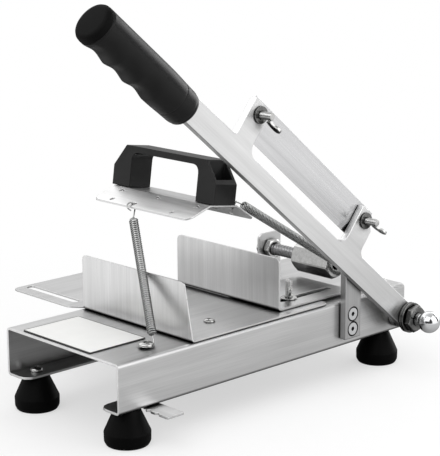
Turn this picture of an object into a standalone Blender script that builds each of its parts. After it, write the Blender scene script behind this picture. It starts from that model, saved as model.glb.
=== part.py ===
"""Frozen meat slicer: a sheet steel base on four rubber feet, a swinging cutting arm with a long blade
and a grip, a spring-loaded meat press, a bent tray and a sliding meat guide.
Metres, +Z up, cutting side towards -Y.

Lengths below are measured from the base's near left lower corner; at the end the whole slicer is set
down with the middle of its footprint on the origin.
"""

import math

import bmesh
import bpy
import numpy as np
from mathutils import Matrix, Vector

# Shared by every piece
GAP = 0.0003
OVERRUN = 0.003
HOLE_CLEARANCE = 0.0003
BORE_SIDES = 32
ROUND_SIDES = 20
NUT_SIDES = 16
SMALL_SIDES = 12
PIERCED_SIDES = 10
ARC_STEP = math.radians(30)
SMOOTH_ANGLE = math.radians(35)
QUARTER = math.pi / 2
HALF = math.pi
FULL = 2 * math.pi

# Base channel: one sheet bent down at both long sides and in again below
BASE_LENGTH = 0.320
BASE_WIDTH = 0.135
BASE_HEIGHT = 0.039
BASE_SHEET = 0.002
BASE_BEND = 0.0032
FLANGE_WIDTH = 0.024
FLANGE_CORNER = 0.009

# Rubber feet and their screws
FOOT_HEIGHT = 0.0283
FOOT_RADIUS = 0.01775
FOOT_TOP_RADIUS = 0.010
FOOT_CONE = 0.0180
FOOT_BAND = 0.0072
FOOT_UNDERCUT = 0.0018
FOOT_FROM_SIDE = 0.0125
FOOT_FROM_LEFT = 0.018
FOOT_FROM_RIGHT = 0.0204
FOOT_BORE_DEPTH = 0.014
FOOT_SCREW_RADIUS = 0.002
FOOT_SCREW_LENGTH = 0.012
FOOT_SCREW_HEAD_RADIUS = 0.005
FOOT_SCREW_HEAD_HEIGHT = 0.0032

# Bare label plate on the base
LABEL_LEFT = 0.0025
LABEL_NEAR = 0.035
LABEL_LENGTH = 0.0545
LABEL_FROM_FAR = 0.018
LABEL_SHEET = 0.0006
LABEL_CORNER = 0.0015

# Tray: floor, left upright and rear extension
TRAY_LEFT = 0.0732
TRAY_RIGHT = 0.2246
TRAY_NEAR = 0.0009
TRAY_SHEET = 0.0015
TRAY_BEND = 0.003
TRAY_LAP = 0.006
TRAY_FROM_FAR = 0.002
TRAY_CORNER = 0.005
UPRIGHT_BELOW_PRESS = 0.0502
UPRIGHT_SETBACK = 0.002
UPRIGHT_SLANT = 0.009
UPRIGHT_CORNER = 0.004
EXTENSION_LEFT = 0.067
EXTENSION_RIGHT = 0.181
EXTENSION_REACH = 0.086
EXTENSION_NECK = 0.010
EXTENSION_FILLET = 0.009
EXTENSION_CORNER = 0.006
TRAY_SLOT_LEFT = 0.0775
TRAY_SLOT_WIDTH = 0.0072
TRAY_SLOT_NEAR = 0.015
TRAY_SLOT_FAR = 0.082
TRAY_SCREW_FROM_LEFT = 0.045
TRAY_SCREW_FROM_NEAR = 0.030
TRAY_SCREW_FROM_FAR = 0.033

# Small pan head screws of tray, tongue and bracket
PAN_SCREW_RADIUS = 0.002
PAN_SCREW_LENGTH = 0.008
PAN_HEAD_RADIUS = 0.0045
PAN_HEAD_HEIGHT = 0.0022
RECESS_LENGTH_SHARE = 0.95
RECESS_WIDTH_SHARE = 0.21
RECESS_DEPTH_SHARE = 0.55

# Larger pan head screws that hold the springs
SPRING_SCREW_RADIUS = 0.0025
SPRING_SCREW_LENGTH = 0.010
SPRING_SCREW_HEAD_RADIUS = 0.0060
SPRING_SCREW_HEAD_HEIGHT = 0.0030

# Meat guide: a bent plate held by one bolt in its slot
GUIDE_LEFT = 0.175
GUIDE_RIGHT = 0.262
GUIDE_NEAR = 0.0097
GUIDE_FROM_FAR = 0.0053
GUIDE_FOOT_DEPTH = 0.062
GUIDE_SHEET = 0.002
GUIDE_BEND = 0.004
GUIDE_CORNER = 0.004
GUIDE_SLOT_START = 0.192
GUIDE_SLOT_END = 0.254
GUIDE_SLOT_FROM_NEAR = 0.0168
GUIDE_BOLT_FROM_SLOT_START = 0.012
GUIDE_BOLT_RADIUS = 0.003
GUIDE_BOLT_HEAD_RADIUS = 0.0065
GUIDE_BOLT_HEAD_HEIGHT = 0.003
GUIDE_BOLT_ABOVE_NUT = 0.006

# Wing nuts and washers of the six millimetre thread
NUT_BORE_RADIUS = 0.0033
WING_NUT_BORE_RADIUS = 0.00309
WASHER_RADIUS = 0.0067
WASHER_SHEET = 0.0013
WING_HUB_RADIUS = 0.0060
WING_HUB_TOP_RADIUS = 0.0048
WING_HUB_HEIGHT = 0.0075
WING_REACH = 0.0165
WING_ROOT = 0.0042
WING_LOW = 0.0016
WING_RISE = 0.0065
WING_HEIGHT = 0.0135
WING_SHEET = 0.0022
WING_CORNER = 0.0024
WING_NUT_TURNS = (math.radians(-3), math.radians(-16))
GUIDE_WING_NUT_TURN = math.radians(48)
DOME_RIM_SHARE = 0.3
CHAMFER_START_SHARE = 0.96
CHAMFER_REACH_SHARE = 1.06
CHAMFER_ANGLE = math.radians(30)

# Threaded stud with its bracket and long coupling nut
BRACKET_LEFT = 0.2560
BRACKET_WIDTH = 0.0268
BRACKET_FROM_FAR = 0.023
BRACKET_DEPTH = 0.0195
BRACKET_SHEET = 0.0025
BRACKET_BEND = 0.0045
BRACKET_ABOVE_STUD = 0.014
BRACKET_CORNER = 0.004
BRACKET_SCREW_SPACING = 0.016
STUD_ABOVE_BASE = 0.0208
STUD_RADIUS = 0.0052
THREAD_DEPTH = 0.0009
THREAD_PITCH = 0.0033
STUD_IN_NUT = 0.020
STUD_END_BEHIND = 0.003
STUD_NUT_FLATS = 0.016
STUD_NUT_HEIGHT = 0.006
COUPLING_NEAR = 0.0325
COUPLING_LENGTH = 0.0425
COUPLING_FLATS = 0.024
COUPLING_BORE_RADIUS = 0.0057
COUPLING_TURN = math.radians(50)

# Meat press: bent saddle under a bridge handle
PRESS_MIDDLE = 0.123
PRESS_RISE = 0.1350
PRESS_TILT = math.radians(8.2)
PRESS_NEAR = 0.018
PRESS_FROM_FAR = 0.004
PRESS_SHEET = 0.0015
PRESS_BEND = 0.003
PRESS_TOP_WIDTH = 0.0283
PRESS_WING = 0.024
PRESS_WING_ANGLE = math.radians(26)
PRESS_CORNER = 0.006
PRESS_HOLE_RADIUS = 0.0020
PRESS_HOLE_FROM_EDGE = 0.0040
SPRING_LEFT_HOLE_SHARE = 0.593
SPRING_RIGHT_SLOT_SHARE = 0.075
PRESS_HOLE_SHARES = (0.204, SPRING_LEFT_HOLE_SHARE, 0.832)
PRESS_SLOT_SHARES = (SPRING_RIGHT_SLOT_SHARE, 0.478, 0.858)
PRESS_SLOT_FROM_BEND = 0.0048
PRESS_SLOT_LENGTH = 0.0055
PRESS_SLOT_WIDTH = 0.0042
HANDLE_OFFSET = 0.0022
HANDLE_WIDTH = 0.0224
HANDLE_OVERHANG = 0.003
HANDLE_FAR_OVERHANG = 0.004
HANDLE_HEIGHT = 0.0335
HANDLE_LEG = 0.021
HANDLE_BEAM = 0.0052
HANDLE_KNEE = 0.0160
HANDLE_SHOULDER = 0.0135
HANDLE_INNER_CORNER = 0.006
HANDLE_KNEE_CORNER = 0.0015
HANDLE_EDGE = 0.0007
POCKET_WALL = 0.0026
POCKET_FLOOR = 0.0165
POCKET_DEPTH = 0.0100
HANDLE_SCREW_RADIUS = 0.0025
HANDLE_SCREW_LENGTH = 0.012
HANDLE_SCREW_HEAD_RADIUS = 0.0045
HANDLE_SCREW_HEAD_HEIGHT = 0.002

# Springs
SPRING_WIRE = 0.0012
SPRING_RADIUS = 0.0031
SPRING_PITCH = 0.0038
SPRING_POINTS = 8
SPRING_TAIL = 0.007
SPRING_LEFT_ANCHOR = (0.0425, 0.0185)
SPRING_RIGHT_ANCHOR = (0.3050, 0.0165)
SPRING_LEFT_TWIST = math.radians(-50)
SPRING_RIGHT_TWIST = 0.0
SPRING_LEFT_END = 0.0104
SPRING_RIGHT_END = 0.0030
SPRING_HOOK_DROP = 0.0042
SPRING_LOOP_RADIUS = 0.0034
SPRING_ANCHOR_RADIUS = 0.0048
SPRING_ANCHOR_SHIFT = 0.0014
SPRING_LOOP_STEPS = 9
SPRING_SWELL_TURNS = 0.75
LOOP_BENT = math.radians(28)
LOOP_OPEN = math.radians(300)

# Arm: a flat bar with two ears, swinging about the pivot
PIVOT_FROM_LEFT = 0.3095
PIVOT_RISE = 0.0142
ARM_ANGLE = math.radians(39.6)
ARM_SHEET = 0.006
ARM_FROM_WALL = 0.0072
ARM_BELOW = 0.0103
ARM_ABOVE = 0.0099
ARM_GAP_EDGE = 0.0062
ARM_TANG_LENGTH = 0.060
ARM_TANG_HALF = 0.0065
ARM_TANG_CORNER = 0.002
EAR_INNER_START = 0.0915
EAR_INNER_END = 0.1134
EAR_OUTER_START = 0.2525
EAR_OUTER_END = 0.2722
EAR_SLANT_LOW = 0.0315
EAR_TOP = 0.0438
EAR_TOP_WIDTH = 0.0085
EAR_FILLET = 0.009
EAR_HEEL = 0.006
EAR_CORNER = 0.0012
EAR_NOTCH = 0.0022
PIVOT_END_SHARE = 0.96

# Grip on the arm's end
GRIP_START = 0.3275
GRIP_LENGTH = 0.1050
GRIP_RADIUS = 0.0153
GRIP_NECK_RADIUS = 0.0143
GRIP_DROP = 0.0030
GRIP_CREST_FIRST = 0.0310
GRIP_PITCH = 0.0220
GRIP_GROOVES = 3
GRIP_GROOVE_DEPTH = 0.0024
GRIP_EDGE = 0.0008
GRIP_SIDES = 20
GRIP_RINGS_PER_GROOVE = 5
COLLAR_LENGTH = 0.0030
COLLAR_RADIUS = 0.0136
COLLAR_EDGE = 0.0010
CAP_LENGTH = 0.0055
CAP_ROUND = 0.0035
CAP_PLUG_RADIUS = 0.0080
CAP_PLUG_LENGTH = 0.009

# Blade behind the ears
BLADE_START = 0.093
BLADE_LENGTH = 0.175
BLADE_EDGE_RISE = 0.018
BLADE_WIDTH = 0.029
BLADE_SHEET = 0.0024
BLADE_BEVEL = 0.009
BLADE_EDGE_SHEET = 0.0003
BLADE_BOLT_RISE = 0.0350
BLADE_BOLT_PLACES = (0.1035, 0.2605)
BLADE_BOLT_RADIUS = 0.003
BLADE_BOLT_HEAD_RADIUS = 0.006
BLADE_BOLT_HEAD_HEIGHT = 0.0024
BLADE_BOLT_ABOVE_NUT = 0.0033

# Pivot bolt and what is stacked on it
PIVOT_BOLT_RADIUS = 0.004
PIVOT_CLEARANCE = 0.00008
PIVOT_HEAD_FLATS = 0.013
PIVOT_HEAD_HEIGHT = 0.0053
PIVOT_SPACER_RADIUS = 0.0105
PIVOT_SPACERS = 3
PIVOT_WASHER_RADIUS = 0.0130
PIVOT_WASHER_SHEET = 0.0020
PIVOT_WASHERS = 2
PIVOT_NUT_FLATS = 0.0205
PIVOT_NUT_HEIGHT = 0.0058
BALL_RADIUS = 0.0092
BALL_NECK_RADIUS = 0.0058
BALL_NECK_LENGTH = 0.0045
BALL_BORE_DEPTH = 0.013

# Guide post beside the arm
POST_LEFT = 0.2371
POST_WIDTH = 0.0188
POST_DEPTH = 0.0063
POST_BOTTOM = 0.0075
POST_TOP = 0.066
POST_EDGE = 0.0005
POST_SCREW_RISES = (0.0156, 0.0283)
POST_SCREW_FROM_LEFT = 0.0092
POST_SCREW_HEAD_RADIUS = 0.0056
POST_SCREW_RADIUS = 0.0025
POST_SCREW_LENGTH = 0.0175
POST_HEX_FLATS = 0.0038
POST_HEX_DEPTH = 0.0026

# Notched tongue screwed below the near flange
TONGUE_LEFT = 0.0300
TONGUE_WIDTH = 0.0115
TONGUE_HEAD_OFFSET = 0.0048
TONGUE_REACH = 0.0245
TONGUE_TAIL = 0.021
TONGUE_SHEET = 0.002
TONGUE_NOTCHES = (0.0035, 0.0125)
TONGUE_NOTCH_WIDTH = 0.0042
TONGUE_NOTCH_DEPTH = 0.0022
TONGUE_CORNER = 0.0012
TONGUE_SCREW_FROM_NEAR = 0.0125

# Places that follow from the sizes above
LABEL_WIDTH = BASE_WIDTH - LABEL_NEAR - LABEL_FROM_FAR
TRAY_BACK = BASE_WIDTH - TRAY_FROM_FAR
UPRIGHT_TOP = PRESS_RISE - UPRIGHT_BELOW_PRESS
UPRIGHT_FAR = TRAY_BACK - UPRIGHT_SETBACK
TRAY_SCREW_SPACING = BASE_WIDTH - TRAY_SCREW_FROM_NEAR - TRAY_SCREW_FROM_FAR
GUIDE_LENGTH = BASE_WIDTH - GUIDE_NEAR - GUIDE_FROM_FAR
BRACKET_NEAR = BASE_WIDTH - BRACKET_FROM_FAR
PRESS_LENGTH = BASE_WIDTH - PRESS_NEAR - PRESS_FROM_FAR
HANDLE_LENGTH = PRESS_LENGTH + HANDLE_OVERHANG + HANDLE_FAR_OVERHANG
FLOOR_BOTTOM = BASE_HEIGHT + GAP
FLOOR_TOP = FLOOR_BOTTOM + TRAY_SHEET
GUIDE_BOTTOM = FLOOR_TOP + GAP
GUIDE_TOP = GUIDE_BOTTOM + GUIDE_SHEET
ARM_MIDDLE = ARM_FROM_WALL + ARM_SHEET / 2
ARM_FRONT = ARM_FROM_WALL + ARM_SHEET
STUD_FROM_LEFT = BRACKET_LEFT + BRACKET_WIDTH / 2
STUD_RISE = BASE_HEIGHT + STUD_ABOVE_BASE

# Which way a flat outline lies: its own x, y and thickness turned into the slicer's
FLAT_XY = (0.0, 0.0, 0.0)
FLAT_XZ = (QUARTER, 0.0, 0.0)
FLAT_YZ = (QUARTER, 0.0, QUARTER)
TO_MINUS_Y = (QUARTER, 0.0, 0.0)
TO_PLUS_Y = (-QUARTER, 0.0, 0.0)
UPWARDS = (0.0, 0.0, 0.0)
DOWNWARDS = (HALF, 0.0, 0.0)


def clear_scene():
    for thing in list(bpy.data.objects):
        bpy.data.objects.remove(thing, do_unlink=True)


def new_collection(name):
    collection = bpy.data.collections.new(name)
    bpy.context.scene.collection.children.link(collection)
    return collection


clear_scene()
PARTS = new_collection("frozen_meat_slicer")
CUTTERS = new_collection("cutters")


def material(name, colour, metallic, roughness):
    made = bpy.data.materials.new(name)
    made.use_nodes = True
    shader = made.node_tree.nodes["Principled BSDF"]
    shader.inputs["Base Color"].default_value = (*colour, 1.0)
    shader.inputs["Metallic"].default_value = metallic
    shader.inputs["Roughness"].default_value = roughness
    return made


BRUSHED = material("brushed stainless", (0.62, 0.62, 0.61), 1.0, 0.32)
BLADE_STEEL = material("ground blade steel", (0.66, 0.66, 0.67), 1.0, 0.22)
BRIGHT = material("bright plated steel", (0.60, 0.60, 0.58), 1.0, 0.18)
SPRING_STEEL = material("spring steel", (0.36, 0.36, 0.36), 1.0, 0.35)
BLACKENED = material("blackened steel", (0.05, 0.05, 0.05), 1.0, 0.45)
BLACK_PLASTIC = material("black moulded plastic", (0.018, 0.018, 0.019), 0.0, 0.42)
RUBBER = material("black rubber", (0.015, 0.015, 0.015), 0.0, 0.70)
WHITE_PLATE = material("white plate", (0.80, 0.80, 0.79), 0.0, 0.45)


def empty(name, parent, location, rotation):
    made = bpy.data.objects.new(name, None)
    PARTS.objects.link(made)
    made.parent = parent
    made.location = location
    made.rotation_euler = rotation
    return made


SLICER = empty("slicer", None, (0.0, 0.0, 0.0), UPWARDS)
ARM = empty("arm_pivot", SLICER, (PIVOT_FROM_LEFT, 0.0, PIVOT_RISE), (0.0, -ARM_ANGLE, HALF))
GUIDE = empty("guide_slide", SLICER, (GUIDE_LEFT, 0.0, 0.0), UPWARDS)
PRESS = empty("press_slide", SLICER, (PRESS_MIDDLE, 0.0, PRESS_RISE), (0.0, PRESS_TILT, 0.0))


def shade(obj):
    obj.data.shade_smooth()
    obj.data.set_sharp_from_angle(angle=SMOOTH_ANGLE)


def keep(mesh, name, finish, parent, location=(0.0, 0.0, 0.0), rotation=UPWARDS):
    obj = bpy.data.objects.new(name, mesh)
    PARTS.objects.link(obj)
    if not mesh.materials:
        mesh.materials.append(finish)
    obj.parent = parent
    obj.location = location
    obj.rotation_euler = rotation
    shade(obj)
    return obj


def as_cutter(obj):
    PARTS.objects.unlink(obj)
    CUTTERS.objects.link(obj)
    obj.hide_render = True
    obj.display_type = "WIRE"
    return obj


def join_shapes(target, other, operation):
    modifier = target.modifiers.new(operation.lower(), "BOOLEAN")
    modifier.operation = operation
    modifier.solver = "EXACT"
    modifier.object = as_cutter(other)
    return target


def cut(target, other):
    return join_shapes(target, other, "DIFFERENCE")


def unite(target, other):
    return join_shapes(target, other, "UNION")


def trim(target, other):
    return join_shapes(target, other, "INTERSECT")


def soften(obj, width, segments=1):
    modifier = obj.modifiers.new("edges", "BEVEL")
    modifier.width = width
    modifier.segments = segments
    modifier.limit_method = "ANGLE"
    modifier.angle_limit = SMOOTH_ANGLE
    modifier.use_clamp_overlap = True
    return obj


def rounded(corners):
    """Closed outline through (x, y, radius) corners, each turned by an arc of its own radius."""
    points = []
    for index, (x, y, radius) in enumerate(corners):
        here = Vector((x, y))
        if not radius:
            points.append(here)
            continue
        before = (Vector(corners[index - 1][:2]) - here).normalized()
        after = (Vector(corners[(index + 1) % len(corners)][:2]) - here).normalized()
        half = before.angle(after) / 2
        centre = here + (before + after).normalized() * radius / math.sin(half)
        start = here + before * radius / math.tan(half) - centre
        end = here + after * radius / math.tan(half) - centre
        turn = math.atan2(start.x * end.y - start.y * end.x, start.dot(end))
        steps = max(2, math.ceil(abs(turn) / ARC_STEP))
        for step in range(steps + 1):
            points.append(centre + Matrix.Rotation(turn * step / steps, 2) @ start)
    return points


def circle(x, y, radius, sides=ROUND_SIDES):
    turns = (FULL * step / sides for step in range(sides))
    return [Vector((x + radius * math.cos(turn), y + radius * math.sin(turn))) for turn in turns]


def hexagon(x, y, flats):
    return circle(x, y, flats / math.sqrt(3), 6)


def slot(x_low, x_high, y_low, y_high):
    """Outline of a slot with round ends; its width is the smaller side."""
    radius = min(x_high - x_low, y_high - y_low) / 2 * (1 - 1e-6)
    corners = ((x_low, y_low), (x_high, y_low), (x_high, y_high), (x_low, y_high))
    return rounded([(x, y, radius) for x, y in corners])


def bent_sheet(path, thickness, bend):
    """Section of a sheet whose outer face follows the path, with the sheet on the right of it."""
    normals = []
    for (x, y), (next_x, next_y) in zip(path, path[1:]):
        along = Vector((next_x - x, next_y - y)).normalized()
        normals.append(Vector((along.y, -along.x)))
    outer = [(x, y, bend) for x, y in path]
    inner = []
    for index, (x, y) in enumerate(path):
        first = normals[max(index - 1, 0)]
        second = normals[min(index, len(normals) - 1)]
        inside = Vector((x, y)) + (first + second) * thickness / (1 + first.dot(second))
        inner.append((inside.x, inside.y, bend - thickness))
    for line in (outer, inner):
        line[0] = (*line[0][:2], 0)
        line[-1] = (*line[-1][:2], 0)
    return rounded(outer + inner[::-1])


def prism(name, outlines, depth, finish, parent, location=(0.0, 0.0, 0.0), rotation=FLAT_XY):
    """Flat outline with its holes, given a depth that is centred on its plane."""
    curve = bpy.data.curves.new(name, "CURVE")
    curve.dimensions = "2D"
    curve.fill_mode = "BOTH"
    curve.extrude = depth / 2
    for outline in outlines:
        spline = curve.splines.new("POLY")
        spline.points.add(len(outline) - 1)
        for point, place in zip(spline.points, outline):
            point.co = (place[0], place[1], 0.0, 1.0)
        spline.use_cyclic_u = True
    guide = bpy.data.objects.new(name + "_outline", curve)
    PARTS.objects.link(guide)
    mesh = bpy.data.meshes.new_from_object(guide.evaluated_get(bpy.context.evaluated_depsgraph_get()))
    bpy.data.objects.remove(guide)
    bpy.data.curves.remove(curve)
    body = bmesh.new()
    body.from_mesh(mesh)
    bmesh.ops.remove_doubles(body, verts=body.verts, dist=GAP / 100)
    bmesh.ops.recalc_face_normals(body, faces=body.faces)
    body.to_mesh(mesh)
    body.free()
    mesh.name = name
    return keep(mesh, name, finish, parent, location, rotation)


def rods(name, places, radius, length, finish, parent, rotation=UPWARDS, sides=ROUND_SIDES):
    """One or more equal round rods, each centred on its place, all pointing one way."""
    body = bmesh.new()
    turn = Matrix.Rotation(rotation[2], 4, "Z") @ Matrix.Rotation(rotation[0], 4, "X")
    for place in places:
        bmesh.ops.create_cone(
            body,
            cap_ends=True,
            segments=sides,
            radius1=radius,
            radius2=radius,
            depth=length,
            matrix=Matrix.Translation(place) @ turn,
        )
    mesh = bpy.data.meshes.new(name)
    body.to_mesh(mesh)
    body.free()
    return keep(mesh, name, finish, parent)


def blocks(name, boxes, finish, parent, location=(0.0, 0.0, 0.0), rotation=UPWARDS):
    """One or more boxes, each from its lowest to its highest corner."""
    body = bmesh.new()
    for low, high in boxes:
        size = [b - a for a, b in zip(low, high)]
        middle = [(a + b) / 2 for a, b in zip(low, high)]
        place = Matrix.Translation(middle) @ Matrix.Diagonal((*size, 1.0))
        bmesh.ops.create_cube(body, size=1.0, matrix=place)
    mesh = bpy.data.meshes.new(name)
    body.to_mesh(mesh)
    body.free()
    return keep(mesh, name, finish, parent, location, rotation)


def turned(name, profile, finish, parent, location, rotation, sides=ROUND_SIDES):
    """Turned piece; the profile's (radius, height) points run down its outer side."""
    body = bmesh.new()
    points = [body.verts.new((radius, 0.0, height)) for radius, height in profile]
    for first, second in zip(points, points[1:]):
        body.edges.new((first, second))
    mesh = bpy.data.meshes.new(name)
    body.to_mesh(mesh)
    body.free()
    obj = keep(mesh, name, finish, parent, location, rotation)
    screw = obj.modifiers.new("turn", "SCREW")
    screw.axis = "Z"
    screw.steps = sides
    screw.render_steps = sides
    screw.use_merge_vertices = True
    screw.merge_threshold = GAP / 100
    screw.use_smooth_shade = True
    return obj


def flatten(obj):
    """Fixes the evaluated shape as the object's own mesh, so that copies can share it."""
    bpy.context.view_layer.update()
    mesh = bpy.data.meshes.new_from_object(obj.evaluated_get(bpy.context.evaluated_depsgraph_get()))
    obj.modifiers.clear()
    obj.data = mesh
    shade(obj)
    return mesh


# Sizes and places that several pieces share

PAN_SCREW_SIZE = (PAN_SCREW_RADIUS, PAN_SCREW_LENGTH, PAN_HEAD_RADIUS, PAN_HEAD_HEIGHT)
FOOT_PLACES = {
    "near_left": (FOOT_FROM_LEFT, FOOT_FROM_SIDE),
    "near_right": (BASE_LENGTH - FOOT_FROM_RIGHT, FOOT_FROM_SIDE),
    "far_left": (FOOT_FROM_LEFT, BASE_WIDTH - FOOT_FROM_SIDE),
    "far_right": (BASE_LENGTH - FOOT_FROM_RIGHT, BASE_WIDTH - FOOT_FROM_SIDE),
}
POST_SCREW_X = POST_LEFT + POST_SCREW_FROM_LEFT
TRAY_SCREW_PLACES = [
    (TRAY_LEFT + TRAY_SCREW_FROM_LEFT, TRAY_SCREW_FROM_NEAR + step * TRAY_SCREW_SPACING) for step in (0, 1)
]
BRACKET_SCREW_Y = BRACKET_NEAR + (BRACKET_SHEET + BRACKET_DEPTH) / 2
BRACKET_SCREW_PLACES = [
    (STUD_FROM_LEFT + side * BRACKET_SCREW_SPACING / 2, BRACKET_SCREW_Y) for side in (-1, 1)
]
GUIDE_BOLT_X = GUIDE_SLOT_START + GUIDE_BOLT_FROM_SLOT_START
GUIDE_BOLT_Y = GUIDE_NEAR + GUIDE_SLOT_FROM_NEAR
TONGUE_SCREW_X = TONGUE_LEFT + TONGUE_WIDTH / 2
COLLAR_START = GRIP_START - GAP - COLLAR_LENGTH
TANG_START = COLLAR_START - GAP
TANG_END = TANG_START + ARM_TANG_LENGTH
BLADE_BACK = ARM_FROM_WALL - GAP - BLADE_SHEET
PRESS_HALF_TOP = PRESS_TOP_WIDTH / 2
PRESS_HALF = PRESS_HALF_TOP + PRESS_WING * math.cos(PRESS_WING_ANGLE)
PRESS_FAR = PRESS_NEAR + PRESS_LENGTH
HANDLE_NEAR = PRESS_NEAR - HANDLE_OVERHANG
HANDLE_FAR = HANDLE_NEAR + HANDLE_LENGTH
HANDLE_LEG_PLACES = (HANDLE_NEAR + HANDLE_LEG / 2, HANDLE_FAR - HANDLE_LEG / 2)
PRESS_EDGE_HOLE_X = PRESS_HALF - PRESS_HOLE_FROM_EDGE
SPRING_RIGHT_HOLE_X = PRESS_HALF_TOP + PRESS_SLOT_FROM_BEND
SPRING_RIGHT_HOLE_Y = PRESS_NEAR + SPRING_RIGHT_SLOT_SHARE * PRESS_LENGTH


def domed_screw(name, finish, parent, location, rotation, size, sides=SMALL_SIDES):
    """Dome headed screw: its head stands on the plane of its place, its shank runs the other way."""
    radius, length, head_radius, head_height = size
    rim = head_height * DOME_RIM_SHARE
    turns = [QUARTER * step / 2 for step in range(3)]
    dome = [(head_radius * math.sin(turn), rim + (head_height - rim) * math.cos(turn)) for turn in turns]
    profile = [*dome, (head_radius, 0.0), (radius, 0.0), (radius, -length), (0.0, -length)]
    return turned(name, profile, finish, parent, location, rotation, sides)


def plain_pan_screw(name, location, size=PAN_SCREW_SIZE):
    return domed_screw(name, BRIGHT, SLICER, location, UPWARDS, size)


def cross_screw(name, location, size=PAN_SCREW_SIZE):
    """Screw standing upright, with a cross recess in its head."""
    screw = plain_pan_screw(name, location, size)
    head_radius, head_height = size[2:]
    half_length = head_radius * RECESS_LENGTH_SHARE / 2
    half_width = head_radius * RECESS_WIDTH_SHARE / 2
    low = head_height * (1 - RECESS_DEPTH_SHARE)
    high = head_height + OVERRUN
    for half_x, half_y in ((half_length, half_width), (half_width, half_length)):
        box = ((-half_x, -half_y, low), (half_x, half_y, high))
        cut(screw, blocks("recess", [box], BRIGHT, SLICER, location))
    return screw


def chamfered_nut(name, flats, height, bore, finish, parent, location, rotation):
    """Hexagon nut, centred on its place, with both ends chamfered at the corners."""
    outlines = [hexagon(0.0, 0.0, flats), circle(0.0, 0.0, bore, NUT_SIDES)]
    nut = prism(name, outlines, height, finish, parent)
    inner = flats / 2 * CHAMFER_START_SHARE
    outer = flats / math.sqrt(3) * (1 + CHAMFER_START_SHARE) / 2 * CHAMFER_REACH_SHARE
    slope = math.tan(CHAMFER_ANGLE)
    tip = height / 2 + inner * slope
    shoulder = height / 2 - (outer - inner) * slope
    profile = [(0.0, tip), (outer, shoulder), (outer, -shoulder), (0.0, -tip)]
    trim(nut, turned("nut_chamfer", profile, finish, parent, (0.0, 0.0, 0.0), UPWARDS, SMALL_SIDES))
    flatten(nut)
    nut.location = location
    nut.rotation_euler = rotation
    return nut


def washer(name, radius, bore, sheet, finish, parent, location, rotation):
    outlines = [circle(0.0, 0.0, radius), circle(0.0, 0.0, bore, SMALL_SIDES)]
    return prism(name, outlines, sheet, finish, parent, location, rotation)


# Base and feet


def flange_corner(x_end, free_edge, inwards_x, inwards_y):
    """What is cut from a bottom flange to round one of its free corners."""
    x_in = x_end + inwards_x * FLANGE_CORNER
    y_in = free_edge + inwards_y * FLANGE_CORNER
    turns = [QUARTER * step / 3 for step in range(4)]
    reach_x, reach_y = inwards_x * FLANGE_CORNER, inwards_y * FLANGE_CORNER
    curve = [(x_in - reach_x * math.cos(turn), y_in - reach_y * math.sin(turn)) for turn in turns]
    outside_x = x_end - inwards_x * OVERRUN
    outside_y = free_edge - inwards_y * OVERRUN
    outline = [(outside_x, y_in), *curve, (x_in, outside_y), (outside_x, outside_y)]
    return prism("flange_corner", [outline], 2 * (BASE_SHEET + OVERRUN), BRUSHED, SLICER)


def base_channel():
    path = (
        (FLANGE_WIDTH, 0.0),
        (0.0, 0.0),
        (0.0, BASE_HEIGHT),
        (BASE_WIDTH, BASE_HEIGHT),
        (BASE_WIDTH, 0.0),
        (BASE_WIDTH - FLANGE_WIDTH, 0.0),
    )
    section = bent_sheet(path, BASE_SHEET, BASE_BEND)
    middle = (BASE_LENGTH / 2, 0.0, 0.0)
    base = prism("base_channel", [section], BASE_LENGTH, BRUSHED, SLICER, middle, FLAT_YZ)
    for x_end, inwards_x in ((0.0, 1), (BASE_LENGTH, -1)):
        for free_edge, inwards_y in ((FLANGE_WIDTH, -1), (BASE_WIDTH - FLANGE_WIDTH, 1)):
            cut(base, flange_corner(x_end, free_edge, inwards_x, inwards_y))
    length = 2 * (BASE_SHEET + OVERRUN)
    on_top = (*TRAY_SCREW_PLACES, *BRACKET_SCREW_PLACES)
    on_flanges = (*FOOT_PLACES.values(), (TONGUE_SCREW_X, TONGUE_SCREW_FROM_NEAR))
    small = [(x, y, BASE_HEIGHT) for x, y in on_top] + [(x, y, 0.0) for x, y in on_flanges]
    radius = PAN_SCREW_RADIUS + HOLE_CLEARANCE
    cut(base, rods("small_holes", small, radius, length, BRUSHED, SLICER, sides=SMALL_SIDES))
    anchors = [(x, y, BASE_HEIGHT) for x, y in (SPRING_LEFT_ANCHOR, SPRING_RIGHT_ANCHOR)]
    radius = SPRING_SCREW_RADIUS + HOLE_CLEARANCE
    cut(base, rods("anchor_holes", anchors, radius, length, BRUSHED, SLICER, sides=SMALL_SIDES))
    bolt = [(GUIDE_BOLT_X, GUIDE_BOLT_Y, BASE_HEIGHT)]
    radius = GUIDE_BOLT_RADIUS + HOLE_CLEARANCE
    cut(base, rods("bolt_hole", bolt, radius, length, BRUSHED, SLICER, sides=SMALL_SIDES))
    posts = [(POST_SCREW_X, 0.0, rise) for rise in POST_SCREW_RISES]
    radius = POST_SCREW_RADIUS + HOLE_CLEARANCE
    cut(base, rods("post_holes", posts, radius, length, BRUSHED, SLICER, FLAT_XZ, SMALL_SIDES))
    pivot = [(PIVOT_FROM_LEFT, 0.0, PIVOT_RISE)]
    radius = PIVOT_BOLT_RADIUS + HOLE_CLEARANCE
    cut(base, rods("pivot_hole", pivot, radius, length, BRUSHED, SLICER, FLAT_XZ))
    return base


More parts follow.
